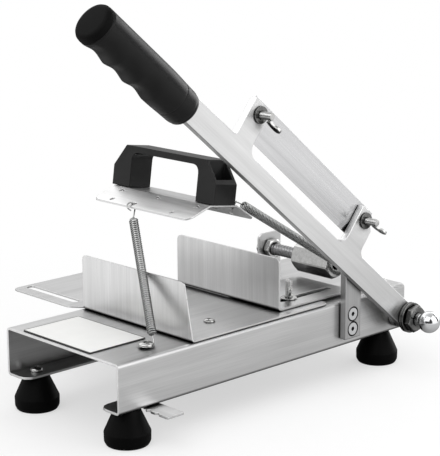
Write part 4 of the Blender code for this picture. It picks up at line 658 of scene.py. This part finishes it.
def bar_along_arm():
    # Laser cut 304 stainless plate, brushed along the arm: even, bright and slightly satin
    return grained_metal(
        "brushed_stainless_plate",
        colours().arm_steel,
        (1, 0, 0),
        0.27,
        turn=-ARM_RISE,
        stretch=0.45,
        line_width=0.6,
        depth=0.006,
    )


def ground_blade():
    # Hardened blade steel, surface ground along its length: smoother than the arm, its bevels
    # painted brighter than its flat face, a painted highlight
    return grained_metal(
        "surface_ground_blade_steel",
        colours().blade_steel,
        (1, 0, 0),
        0.17,
        turn=-ARM_RISE,
        stretch=0.35,
        line_width=0.5,
        depth=0.003,
        slope_highlight=1.35,
    )


def patchy_metal_with_painted_shade(name, colour, roughness, patch_size, dark=0.88, light=1.06, depth=0.0, below=0.2):
    """Metal with small uneven patches in its tone and polish, their size in millimetres, and
    painted shade in crevices and on faces that look down; below is the share of the colour that
    this painted shade leaves on faces that look down.
    """
    material, tree = new_material(name)
    if not tree:
        return material
    patch = noise(tree, coordinates(tree), scale=1 / (patch_size * MM), detail=4.0)
    # Painted shade in crevices, and further down on faces that look down
    tone = painted_crevice_shade(tree, shaded(tree, colour, patch, dark, light), distance=3.0, dark=0.06)
    principled_surface(
        tree,
        {
            "Base Color": painted_shade_below(tree, tone, below),
            "Metallic": 1.0,
            "Roughness": varied(tree, patch, spread=0.12, middle=roughness),
            "Normal": relief(tree, patch, depth),
        },
    )
    return material


def plated():
    # Steel, zinc plated and passivated: bright with slightly cloudy patches a few mm wide
    return patchy_metal_with_painted_shade("bright_zinc_plated_steel", colours().plated_steel, 0.15, 3.0, depth=0.01)


def oiled():
    # The same plate dulled by oil and metal dust that the pivot and the washers hold
    steel = colours().oiled_steel
    return patchy_metal_with_painted_shade(
        "oiled_zinc_plated_steel", steel, 0.24, 2.0, dark=0.75, light=1.15, depth=0.01
    )


def chromed():
    # Steel, chrome plated and polished: a near mirror
    chrome = colours().chrome
    return patchy_metal_with_painted_shade("polished_chrome_plate", chrome, 0.09, 6.0, dark=0.97, light=1.02, below=0.8)


def spring_wire():
    # Cold drawn spring wire, zinc plated: satin with darker patches and painted shade between the
    # turns
    wire = colours().spring_steel
    return patchy_metal_with_painted_shade("drawn_zinc_plated_spring_wire", wire, 0.28, 1.2, dark=0.8, light=1.05)


def thread_steel_with_valley_shade():
    # Rolled thread steel: mid grey with uneven patches, dark in the thread's valleys from painted
    # shade
    steel = colours().stud_steel
    return patchy_metal_with_painted_shade(
        "rolled_thread_steel_with_valley_shade", steel, 0.30, 1.0, dark=0.7, light=1.3, depth=0.01
    )


def moulded(name, colour, roughness, grain, depth, gloss):
    """Plastic or rubber with the fine grain of its mould and a little dust."""
    material, tree = new_material(name)
    if not tree:
        return material
    place = coordinates(tree)
    pores = noise(tree, place, scale=1 / (grain * MM), detail=2.0)
    dust_size = 14
    dust = noise(tree, place, scale=1 / (dust_size * MM), detail=3.0)
    principled_surface(
        tree,
        {
            "Base Color": shaded(tree, colour, dust, dark=0.85, light=1.25),
            "Roughness": varied(tree, dust, spread=0.14, middle=roughness),
            "IOR": 1.5,
            "Specular IOR Level": gloss,
            "Normal": relief(tree, pores, depth),
        },
    )
    return material


def grip_vinyl():
    # Dipped and moulded PVC: soft broad highlight, fine leathery grain
    return moulded("moulded_soft_pvc", colours().grip_black, 0.38, 0.6, depth=0.008, gloss=0.20)


def grip_end_vinyl():
    # The same PVC on the grip's end, rubbed dull by the palm
    return moulded("rubbed_soft_pvc", colours().grip_black, 0.55, 0.6, depth=0.02, gloss=0.05)


def handle_plastic():
    # Injection moulded ABS, spark eroded mould: even satin black
    black = colours().handle_black
    return moulded("injection_moulded_abs", black, 0.36, 0.5, depth=0.012, gloss=0.26)


def foot_rubber():
    # Compression moulded nitrile rubber: matt, with a faint bloom
    black = colours().foot_black
    return moulded("compression_moulded_rubber", black, 0.48, 0.8, depth=0.015, gloss=0.06)


def lacquered_plate():
    # Thin white lacquered plate, left bare: satin, with a fine grey line round its rim
    material, tree = new_material("white_lacquered_plate")
    if not tree:
        return material
    low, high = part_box("label_plate")
    place = coordinates(tree)
    axes = add(tree, "ShaderNodeSeparateXYZ", {0: place}).outputs
    nearest = None
    for axis in (0, 1):
        for edge, way in ((low[axis], 1.0), (high[axis], -1.0)):
            inset = maths(tree, "MULTIPLY_ADD", axes[axis], way, -way * edge)
            if nearest is None:
                nearest = inset
            else:
                nearest = maths(tree, "MINIMUM", nearest, inset)
    rim = ramp(tree, nearest, 0.8 * MM, 1.2 * MM, 1.0, 0.0)
    mottle = noise(tree, place, scale=90.0, detail=3.0)
    face = shaded(tree, colours().plate_white, mottle, dark=0.97, light=1.0)
    sockets = {0: rim, 6: face, 7: linear("#2E2E2E")}
    tone = add(tree, "ShaderNodeMix", sockets, data_type="RGBA").outputs[2]
    rough = varied(tree, mottle, spread=0.1, middle=0.35)
    principled_surface(tree, {"Base Color": tone, "Roughness": rough, "IOR": 1.5})
    return material


def mirror_rays(tree, rays):
    """1 where a reflection looks, 0 where the eye or the light does."""
    return maths(tree, "MAXIMUM", rays["Is Glossy Ray"], rays["Is Transmission Ray"])


def studio_floor(centre):
    # Matt painted board near the slicer, where its shadow falls; farther off it turns to a white
    # glow. Reflections see it dark under and behind the slicer, lighter farther to the front, and
    # brightest behind on the left.
    material, tree = new_material("matt_painted_floor")
    if not tree:
        return material
    place = coordinates(tree)
    offset = vector_maths(tree, "SUBTRACT", place, (centre.x, centre.y, 0.0))
    reach = measured(tree, "LENGTH", offset)
    far = ramp(tree, reach, *FLOOR_GLOW, interpolation_type="SMOOTHSTEP")
    axes = add(tree, "ShaderNodeSeparateXYZ", {0: offset}).outputs
    near_front = ramp(tree, axes[1], *FLOOR_NEAR_FRONT)
    far_front = ramp(tree, axes[1], *FLOOR_FAR_FRONT, interpolation_type="SMOOTHSTEP")
    front = maths(tree, "ADD", near_front, far_front)
    behind = ramp(tree, axes[1], *FLOOR_BEHIND)
    left = maths(tree, "MULTIPLY", ramp(tree, axes[0], *FLOOR_LEFT), behind)
    rays = add(tree, "ShaderNodeLightPath").outputs
    mirrored = mirror_rays(tree, rays)
    seen = maths(tree, "MULTIPLY", far, rays["Is Camera Ray"])
    share = mixed(tree, mirrored, seen, FLOOR_MIRRORED_GLOW)
    strength = mixed(tree, mirrored, 1.0, maths(tree, "MAXIMUM", front, left))
    fibre = noise(tree, place, scale=60.0, detail=2.0)
    white = shaded(tree, colours().floor_white, fibre, dark=0.99, light=1.0)
    paint = add(tree, "ShaderNodeBsdfDiffuse", {"Color": white})
    glow = add(tree, "ShaderNodeEmission", {"Color": WHITE, "Strength": strength})
    both = add(tree, "ShaderNodeMixShader", {0: share, 1: paint.outputs[0], 2: glow.outputs[0]})
    add(tree, "ShaderNodeOutputMaterial", {"Surface": both.outputs[0]})
    return material


def way_to(azimuth, elevation):
    """Way from the slicer, by degrees from the front towards the right and above level."""
    turn, rise = math.radians(azimuth), math.radians(elevation)
    level = math.cos(rise)
    return Vector((math.sin(turn) * level, -math.cos(turn) * level, math.sin(rise)))


class SLICER_OT_studio(bpy.types.Operator):
    """Sets the floor, the backdrop, the lamps and the camera"""

    bl_idname = "slicer.studio"
    bl_label = "Studio"

    def execute(self, context):
        for name in ("Cube", "Light", "Camera"):
            obj = bpy.data.objects.get(name)
            if obj:
                bpy.data.objects.remove(obj)
        centre = (CAD_BOX[0] + CAD_BOX[1]) / 2
        drop = CAD_BOX[0].z - FLOOR_GAP * MM
        signs = ((-1, -1), (1, -1), (1, 1), (-1, 1))
        corners = [(x * FLOOR_HALF, y * FLOOR_HALF, drop) for x, y in signs]
        floor = solid("studio_floor", [(corners, [(0, 1, 2, 3)])])
        floor.data.materials.append(studio_floor(centre))
        self.make_world(context)
        for name, settings in LAMPS.items():
            self.make_lamp(context, name, centre, *settings)
        self.make_camera(context)
        context.scene.view_settings.view_transform = "Standard"
        return {"FINISHED"}

    def make_world(self, context):
        """White to the eye; reflections see it grey behind and below, bright in front and above."""
        world = bpy.data.worlds.new("studio")
        context.scene.world = world
        world.use_nodes = True
        tree = world.node_tree
        tree.nodes.clear()
        way = coordinates(tree, "Generated")
        slope = measured(tree, "DOT_PRODUCT", way, ROOM_SLOPE)
        shown = maths(tree, "ADD", ramp(tree, slope, *ROOM_LOW), ramp(tree, slope, *ROOM_HIGH))
        axes = add(tree, "ShaderNodeSeparateXYZ", {0: way}).outputs
        behind = ramp(tree, axes[1], *ROOM_BEHIND)
        behind = maths(tree, "MULTIPLY", behind, ramp(tree, axes[0], *ROOM_INWARD))
        lift = maths(tree, "MULTIPLY_ADD", ramp(tree, axes[0], *ROOM_LIFT), behind, 1.0)
        shown = maths(tree, "MULTIPLY", shown, lift)
        for card, outer, inner, tone in CARDS:
            near = measured(tree, "DOT_PRODUCT", way, card)
            shown = maths(tree, "MULTIPLY", shown, ramp(tree, near, outer, inner, 1.0, tone))
        rays = add(tree, "ShaderNodeLightPath").outputs
        strength = mixed(tree, mirror_rays(tree, rays), AMBIENT, shown)
        strength = mixed(tree, rays["Is Camera Ray"], strength, 1.0)
        glow = add(tree, "ShaderNodeBackground", {"Color": WHITE, "Strength": strength})
        add(tree, "ShaderNodeOutputWorld", {"Surface": glow.outputs[0]})

    def make_lamp(self, context, name, centre, azimuth, elevation, distance, size, watts, shown):
        """Square soft box that looks at the slicer."""
        back = way_to(azimuth, elevation)
        light = bpy.data.lights.new(name, "AREA")
        light.energy, light.size = watts, size
        lamp = bpy.data.objects.new(name, light)
        context.scene.collection.objects.link(lamp)
        lamp.location = centre + back * distance
        lamp.visible_glossy = shown
        lamp.rotation_euler = (-back).to_track_quat("-Z", "Y").to_euler()

    def make_camera(self, context):
        """Camera fitted to the photograph's frame of 440 by 456."""
        azimuth, elevation, roll = CAMERA_ANGLES
        turn, roll = math.radians(azimuth), math.radians(roll)
        back = way_to(azimuth, elevation)
        level = Vector((math.cos(turn), math.sin(turn), 0.0))
        top = back.cross(level)
        right = level * math.cos(roll) + top * math.sin(roll)
        up = top * math.cos(roll) - level * math.sin(roll)
        data = bpy.data.cameras.new("camera")
        data.sensor_width, data.lens = CAMERA_SENSOR, CAMERA_LENS
        data.clip_start, data.clip_end = 0.01, 50.0
        camera = bpy.data.objects.new("camera", data)
        context.scene.collection.objects.link(camera)
        matrix = Matrix((right, up, back)).transposed().to_4x4()
        matrix.translation = at(*CAMERA_PLACE)
        camera.matrix_world = matrix
        context.scene.camera = camera


class SLICER_OT_sheets(bpy.types.Operator):
    """Rounds and brushes the bent sheets: base, tray, guide, bracket, press, post and tongue"""

    bl_idname = "slicer.sheets"
    bl_label = "Sheets"

    def execute(self, context):
        width = sizes().sheet_rounding
        for node, material in (
            ("base_channel", sheet_along_base()),
            ("tray", sheet_bent()),
            ("right_guide", sheet_bent()),
            ("stud_bracket", sheet_bent()),
            ("press_saddle", sheet_along_press()),
            ("guide_post", bar_upright()),
            ("tongue", sheet_along_press()),
        ):
            dress_node(node, material, width)
        dress_node("label_plate", lacquered_plate(), width / 4)
        return {"FINISHED"}


class SLICER_OT_arm(bpy.types.Operator):
    """Rounds and brushes the arm and its blade"""

    bl_idname = "slicer.arm"
    bl_label = "Arm and blade"

    def execute(self, context):
        dress_node("arm_plate", bar_along_arm(), sizes().bar_rounding)
        dress_node("blade", ground_blade(), sizes().sheet_rounding / 4)
        return {"FINISHED"}


class SLICER_OT_press_handle(bpy.types.Operator):
    """Rounds and colours the press's moulded handle"""

    bl_idname = "slicer.press_handle"
    bl_label = "Press handle"

    def execute(self, context):
        dress_node("press_handle", handle_plastic(), sizes().sheet_rounding)
        return {"FINISHED"}


class SLICER_OT_grip(bpy.types.Operator):
    """Moulds the grip with its finger grooves, end and collar"""

    bl_idname = "slicer.grip"
    bl_label = "Grip"

    def execute(self, context):
        # Along the arm: where the grip starts, its whole length, its end piece's, its joints
        start, length, end, joint = 327.5, 105.0, 5.5, 0.3
        radius, collar_radius, collar_length = 15.3, 13.6, 3.0
        grip = self.grooved(length - end - joint, radius)
        self.place("grip", "moulded_grip", grip, start, grip_vinyl())
        corners = [(0.0, -0.28, 0), (radius, -0.28, 0.05), (radius, end, 4.6), (0.0, end - 0.1, 0)]
        end_piece, along = turned(soft_corners(corners)), start + length - end
        self.place("grip_cap", "moulded_grip_end", end_piece, along, grip_end_vinyl())
        corners = [
            (0.0, 0.0, 0),
            (collar_radius, 0.0, 2.8),
            (collar_radius, collar_length, 0.1),
            (0.0, collar_length, 0),
        ]
        collar, along = turned(soft_corners(corners)), start - collar_length - joint
        self.place("grip_collar", "moulded_grip_collar", collar, along, grip_vinyl())
        return {"FINISHED"}

    def place(self, node, name, shape, along, material):
        """Sets a shape on the grip's line, a little below the arm's."""
        out, rise = 10.2, -3.0
        matrix = facing(arm_spot(along, out, rise), ARM_LINE, OUTWARD)
        piece(node, name, [shape], matrix, material, "arm", "black_plastic")

    def grooved(self, length, radius):
        """Round body that widens from its neck, with a seam line and finger grooves below."""
        neck, rim, rim_depth = 14.3, 3.0, 0.55
        seam, seam_half, seam_depth = 13.0, 0.6, 0.35
        first, pitch, grooves, depth = 31.0, 22.0, 3, sizes().groove_depth / MM
        stations = [0.0, 0.1, 0.3, 0.8, 1.6, 3.0, 6.0, 10.0]
        stations += [12.2, 12.6, 13.0, 13.4, 13.8, 17.0, 24.0]
        steps = 12 * grooves
        stations += [first + pitch * grooves * step / steps for step in range(steps + 1)]
        stations.append(length)
        points = []
        for along in stations:
            fill = min(1.0, along / first)
            reach = neck + (radius - neck) * fill * fill * (3 - 2 * fill)
            reach -= rim_depth * max(0.0, 1 - along / rim) ** 2
            reach -= seam_depth * max(0.0, 1 - abs(along - seam) / seam_half)
            share = (along - first) / pitch
            groove = abs(math.sin(math.pi * share)) ** 1.25 if 0 < share < grooves else 0.0
            for step in range(ROUND_SIDES):
                turn = FULL * step / ROUND_SIDES
                # local y points up across the arm, so its low side carries the grooves
                low_side = max(0.0, -math.sin(turn)) ** 1.3
                here = reach - depth * groove * low_side
                points.append((here * math.cos(turn), here * math.sin(turn), along))
        return points, closed_faces(len(stations), ROUND_SIDES)


class SLICER_OT_feet(bpy.types.Operator):
    """Turns the four rubber feet and their screws"""

    bl_idname = "slicer.feet"
    bl_label = "Feet"

    def execute(self, context):
        shape = turned(soft_corners(FOOT_CORNERS))
        for name in ("near_left", "near_right", "far_left", "far_right"):
            node = "foot_" + name
            middle = extent(node)[2]
            place = upright(middle.x, middle.y, 0.0)
            piece(node, "rubber_" + node, [shape], place, foot_rubber(), slot="black_rubber")
            dress_screw("foot_screw_" + name, FOOT_SCREW)
        return {"FINISHED"}


def dress_screw(node, size, name=None):
    """Screw in place of its solid: a domed head with a cross on top, a threaded shank below."""
    head_radius, head_height, shank_radius = size
    low, high, middle = extent(node)
    place = upright(middle.x, middle.y, high.z - head_height)
    rim, foot = head_height * 0.35, [(head_radius, 0.0, 0.15), (0.0, 0.0, 0)]
    turns = [FULL / 4 * step / 8 for step in range(9)]
    dome = [
        (head_radius * math.sin(turn), rim + (head_height - rim) * math.cos(turn)) for turn in turns
    ]
    profile = [*dome, (head_radius, rim / 2), *soft_corners(foot)]
    shank_end = high.z - low.z - head_height
    shank = threaded(shank_radius, *SCREW_THREAD, -shank_end, 0.2, sides=24)
    screw = solid(name or "plated_" + node, [turned(profile), shank], place)
    half, reach = head_radius * 0.11, head_radius * 0.52
    floor, top = head_height * 0.4, head_height + 1.0
    outline = [(-reach * 0.6, floor), (reach * 0.6, floor), (reach * 1.2, top), (-reach * 1.2, top)]
    for turn in (FULL / 16, FULL * 5 / 16):
        cutter_place = place @ Matrix.Rotation(turn, 4, "Z")
        combine(screw, solid("recess", [drawn_out(outline, 2 * half)], cutter_place), "DIFFERENCE")
    round_edges(screw, 0.08 * MM, 40)
    finish_piece(screw, plated(), "bright_steel", "base", node)


class SLICER_OT_screws(bpy.types.Operator):
    """Makes the screws that hold the springs, tray, bracket, tongue, post and handle"""

    bl_idname = "slicer.screws"
    bl_label = "Screws"

    def execute(self, context):
        for side in ("left", "right"):
            dress_screw("spring_screw_" + side, SPRING_SCREW, "spring_anchor_screw_" + side)
            dress_screw("bracket_screw_" + side, SHEET_SCREW)
        for side in ("near", "far"):
            dress_screw("tray_screw_" + side, SHEET_SCREW)
            dress_node("handle_screw_" + side, plated(), 0.15 * MM)
        dress_screw("tongue_screw", SHEET_SCREW)
        for side in ("low", "high"):
            self.countersunk("post_screw_" + side)
        return {"FINISHED"}

    def countersunk(self, node):
        """Screw with a hexagon socket, flush with the post."""
        low, high, middle = extent(node)
        place = outward(middle.x, low.y, middle.z)
        radius, shank, rounding, flats = 5.3, 2.5, 0.2, 3.4
        head_end = shank - radius
        outer, inner = (radius, 0.0, rounding), (shank, head_end, rounding)
        profile = soft_corners([(0.0, 0.0, 0), outer, inner, (0.0, head_end, 0)])
        rod = threaded(shank, *SCREW_THREAD, low.y - high.y, head_end + 0.3, sides=24)
        screw = solid("countersunk_" + node, [turned(profile), rod], place)
        socket = [(0.0, -2.6), (2.4, -2.4), (2.4, 1.0), (0.0, 1.0)]
        combine(screw, solid("socket", [turned(socket, 24, flats)], place), "DIFFERENCE")
        round_edges(screw, 0.12 * MM, 40)
        finish_piece(screw, chromed(), "bright_steel", "base", node)


def nut_shape(flats, height, bore):
    """Hexagon nut with both rims chamfered in a curve and its bore open."""
    face = flats / 2 * 0.94
    corner = flats / 2 / math.cos(FULL / 12)
    slope = math.tan(math.radians(30))
    outer = []
    for step in range(6):
        radius = face + (corner - face) * step / 5
        outer.append((radius, (radius - face) * slope))
    rows = [(bore + 0.5, 0.0), *outer, *((radius, height - rise) for radius, rise in outer[::-1])]
    rows += [(bore + 0.5, height), (bore, height - 0.5), (bore, 0.5), (bore + 0.5, 0.0)]
    return turned(rows, HEX_SIDES, flats)


def ring_shape(radius, bore, height, rounding):
    profile = soft_corners(
        [(bore, 0.0, 0.1), (radius, 0.0, rounding), (radius, height, rounding), (bore, height, 0.1)]
    )
    return turned([*profile, profile[0]])


class SLICER_OT_pivot(bpy.types.Operator):
    """Makes the pivot's spacers, washers, nut, bolt and ball nut"""

    bl_idname = "slicer.pivot"
    bl_label = "Pivot"

    def execute(self, context):
        bore = 4.3
        for kind, way, count, radius, rounding, material in (
            ("spacer", "turned", 3, 10.5, 0.35, plated()),
            ("washer", "stamped", 2, 13.0, 0.5, oiled()),
        ):
            for number in range(1, count + 1):
                node = f"pivot_{kind}_{number}"
                low, high, _ = extent(node)
                ring = ring_shape(radius, bore, high.y - low.y, rounding)
                piece(node, f"{way}_{kind}_{number}", [ring], self.on_pivot(node), material)
        place = self.on_pivot("pivot_nut", math.radians(12))
        nut = nut_shape(flats=20.5, height=5.8, bore=bore)
        piece("pivot_nut", "hexagon_pivot_nut", [nut], place, oiled())
        dress_node("pivot_bolt", plated(), 0.3 * MM)
        piece("ball_nut", "chromed_ball_nut", [self.ball()], self.on_pivot("ball_nut"), chromed())
        return {"FINISHED"}

    def on_pivot(self, node, turn=0.0):
        """Place on the pivot's line where the solid starts."""
        return outward(PIVOT.x, extent(node)[1].y, PIVOT.z, turn)

    def ball(self):
        radius, neck, neck_length, chamfer, steps = 9.2, 5.8, 4.5, 0.5, 24
        sink = math.acos(neck / radius)
        middle = neck_length + radius * math.sin(sink)
        profile = [(0.0, 0.0), (neck - chamfer, 0.0), (neck, chamfer)]
        profile.append((neck, neck_length - chamfer))
        for step in range(steps):
            turn = -sink + (FULL / 4 + sink) * step / steps
            profile.append((radius * math.cos(turn), middle + radius * math.sin(turn)))
        return turned([*profile, (0.0, middle + radius)])


class SLICER_OT_wing_nuts(bpy.types.Operator):
    """Makes the three wing nuts with their bolts and washers"""

    bl_idname = "slicer.wing_nuts"
    bl_label = "Wing nuts"

    def execute(self, context):
        # How far the blade bolts lie across the arm, and how far out each part of them starts
        rise, head_out, washer_out, nut_out = 35.0, 4.2, 13.5, 15.1
        for name, along, turn in (("inner", 103.5, -3), ("outer", 260.5, -16)):
            place = out_from_arm(along, nut_out, rise, math.radians(turn))
            self.wing_nut("blade_wing_nut_" + name, place, name + "_wing_nut")
            place = facing(arm_spot(along, head_out, rise), -OUTWARD, ARM_LINE)
            bolt = self.bolt(radius=5.9, rim=1.4, head=2.4, length=21.7)
            piece("blade_bolt_" + name, "rolled_blade_bolt_" + name, bolt, place, plated(), "arm")
            place = out_from_arm(along, washer_out, rise)
            node = "blade_washer_" + name
            piece(node, "stamped_" + node, self.washer(), place, oiled(), "arm")
        low, high, middle = extent("guide_bolt")
        head, washer_low, nut_low = 3.0, 43.4, 45.0
        bolt = self.bolt(radius=6.5, rim=2.0, head=head, length=high.z - low.z - head)
        place = facing(at(middle.x, middle.y, low.z + head), -UPWARD, ALONG_X)
        piece("guide_bolt", "rolled_guide_bolt", bolt, place, plated())
        place = upright(middle.x, middle.y, washer_low)
        piece("guide_washer", "stamped_guide_washer", self.washer(), place, plated())
        place = upright(middle.x, middle.y, nut_low, math.radians(48))
        self.wing_nut("guide_wing_nut", place, "guide_wing_nut")
        return {"FINISHED"}

    def bolt(self, radius, rim, head, length):
        """Bolt with a shallow domed head and its thread below z 0."""
        corners = [(0, 0, 0), (radius, 0, 0.3), (radius, rim, 0.9), (0, head, 0)]
        pitch = sizes().small_pitch / MM
        thread = threaded(crest=3.0, depth=0.5, pitch=pitch, low=-length, high=0.2)
        return [turned(soft_corners(corners)), thread]

    def washer(self):
        return [ring_shape(radius=6.7, bore=3.3, height=1.3, rounding=0.3)]

    def wing_nut(self, node, place, body):
        hub = soft_corners([(3.1, 0.0, 0.2), (6.0, 0.0, 0.4), (4.8, 7.5, 0.6), (3.1, 7.5, 0.3)])
        nut = solid("cast_" + node, [turned([*hub, hub[0]])], place)
        wing, thickness = soft_corners(WING_CORNERS), 2.4
        for side in (1, -1):
            outline = [(side * x, z) for x, z in wing]
            combine(nut, solid("wing", [drawn_out(outline, thickness)], place), "UNION")
        round_edges(nut, 0.45 * MM, 40)
        finish_piece(nut, plated(), "bright_steel", body, node)


class SLICER_OT_stud(bpy.types.Operator):
    """Makes the threaded stud with its two nuts and the long coupling nut"""

    bl_idname = "slicer.stud"
    bl_label = "Stud"

    def execute(self, context):
        low, high, middle = extent("stud")
        crest, depth, pitch = 5.2, 0.9, sizes().stud_pitch / MM
        rod = threaded(crest, depth, pitch, 0.0, high.y - low.y, sides=48, grades=6)
        place = inward(middle.x, low.y, middle.z)
        piece("stud", "rolled_stud", [rod], place, thread_steel_with_valley_shade(), slot="blackened_steel")
        for node, flats, turn in (
            ("stud_nut_near", 16.0, 0),
            ("stud_nut_far", 16.0, 0),
            ("coupling_nut", 24.0, 50),
        ):
            low, high, _ = extent(node)
            nut = nut_shape(flats, high.y - low.y, bore=5.5)
            place = inward(middle.x, low.y, middle.z, math.radians(turn))
            piece(node, "hexagon_" + node, [nut], place, plated())
        return {"FINISHED"}


def eased(points, steps=6):
    """Smooth curve through the points."""
    curve = []
    for index in range(len(points) - 1):
        a, b = points[max(index - 1, 0)], points[index]
        c, d = points[index + 1], points[min(index + 2, len(points) - 1)]
        for step in range(steps):
            t = step / steps
            bend, twist = 2 * a - 5 * b + 4 * c - d, 3 * b - a - 3 * c + d
            curve.append(0.5 * (2 * b + (c - a) * t + bend * t**2 + twist * t**3))
    return [*curve, points[-1]]


def winding(low, high, radius, pitch):
    """Turns round the line from low to high, drawn in at both ends."""
    axis = high - low
    turns = round(axis.length / pitch)
    side = axis.normalized().cross(UPWARD).normalized()
    other = axis.normalized().cross(side)
    steps = turns * 20
    path = []
    for step in range(steps + 1):
        share = step / steps
        from_end = min(share, 1 - share) * turns
        reach = radius * min(1.0, (0.15 + from_end) / 0.9)
        turn = FULL * share * turns
        path.append(low + axis * share + (side * math.cos(turn) + other * math.sin(turn)) * reach)
    return path


# Routes of the springs' wire from the slicer's corner: ring round the screw, both ends of the
# coil, and hook through the press
SPRING_ROUTES = {
    "left": {
        "ring": [
            (47.85, 15.21, 39.9), (46.73, 14.78, 39.9), (44.39, 13.88, 39.9), (41.92, 14.27, 39.9),
            (39.99, 15.86, 39.9), (39.11, 18.21, 39.9), (39.54, 20.67, 39.9), (41.15, 22.59, 39.9),
            (43.5, 23.44, 39.9), (45.96, 22.98, 39.9), (47.86, 21.35, 39.9), (51.05, 19.43, 39.9),
        ],
        "coil": [(53.21, 23.37, 45.27), (83.83, 79.16, 121.29)],
        "hook": [
            (89.24, 83.02, 127.61), (90.2, 83.82, 128.87), (90.29, 84.95, 130.23),
            (89.5, 86.09, 131.34), (88.04, 86.94, 131.87), (86.31, 87.26, 131.7),
            (84.77, 86.97, 130.86), (83.85, 86.15, 129.59), (83.8, 85.02, 128.23),
            (84.62, 83.88, 127.15), (85.18, 83.11, 126.42),
        ],
    },
    "right": {
        "ring": [
            (300.29, 20.66, 39.9), (301.47, 20.89, 39.9), (303.93, 21.38, 39.9),
            (306.29, 20.56, 39.9), (307.93, 18.67, 39.9), (308.39, 16.21, 39.9),
            (307.55, 13.85, 39.9), (305.63, 12.24, 39.9), (303.17, 11.81, 39.9),
            (300.82, 12.68, 39.9), (299.23, 14.61, 39.9), (296.42, 17.05, 39.9),
        ],
        "coil": [(290.47, 17.43, 43.58), (150.93, 26.31, 129.87)],
        "hook": [
            (148.38, 26.47, 131.45), (145.23, 26.47, 132.86), (143.9, 26.47, 133.04),
            (138.95, 26.47, 125.76),
        ],
    },
}


class SLICER_OT_springs(bpy.types.Operator):
    """Winds the two springs between the base and the press"""

    bl_idname = "slicer.springs"
    bl_label = "Springs"

    def execute(self, context):
        for side, route in SPRING_ROUTES.items():
            ring, (low, high), hook = (
                [at(*point) for point in route[part]] for part in ("ring", "coil", "hook")
            )
            path = eased([*ring, low])[:-1]
            path += winding(low, high, sizes().spring_radius, sizes().spring_pitch)
            path += eased([high, *hook])[1:]
            spring = solid("wound_spring_" + side, [tube(path, sizes().spring_wire / 2)])
            spring.data.materials.append(spring_wire())
            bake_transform(spring)
            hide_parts(side + "_spring")
        return {"FINISHED"}


class SLICER_PT_sidebar(bpy.types.Panel):
    """Lists the slicer's pieces, sizes and colours"""

    bl_idname = "SLICER_PT_sidebar"
    bl_label = "Slicer"
    bl_space_type = "VIEW_3D"
    bl_region_type = "UI"
    bl_category = "Slicer"

    def draw(self, context):
        column = self.layout.column()
        for operator in PIECES:
            column.operator(operator.bl_idname)
        for group in (context.scene.slicer_sizes, context.scene.slicer_colours):
            for name in group.__annotations__:
                column.prop(group, name)


PIECES = (
    SLICER_OT_studio,
    SLICER_OT_sheets,
    SLICER_OT_arm,
    SLICER_OT_press_handle,
    SLICER_OT_grip,
    SLICER_OT_feet,
    SLICER_OT_screws,
    SLICER_OT_pivot,
    SLICER_OT_wing_nuts,
    SLICER_OT_stud,
    SLICER_OT_springs,
)
CLASSES = (SlicerColours, SlicerSizes, *PIECES, SLICER_PT_sidebar)


def register():
    for item in CLASSES:
        bpy.utils.register_class(item)
    bpy.types.Scene.slicer_colours = PointerProperty(type=SlicerColours)
    bpy.types.Scene.slicer_sizes = PointerProperty(type=SlicerSizes)


def unregister():
    del bpy.types.Scene.slicer_sizes
    del bpy.types.Scene.slicer_colours
    for item in reversed(CLASSES):
        bpy.utils.unregister_class(item)


def main():
    register()
    for operator in PIECES:
        name = operator.bl_idname.split(".")[1]
        getattr(bpy.ops.slicer, name)()


if __name__ == "__main__":
    main()
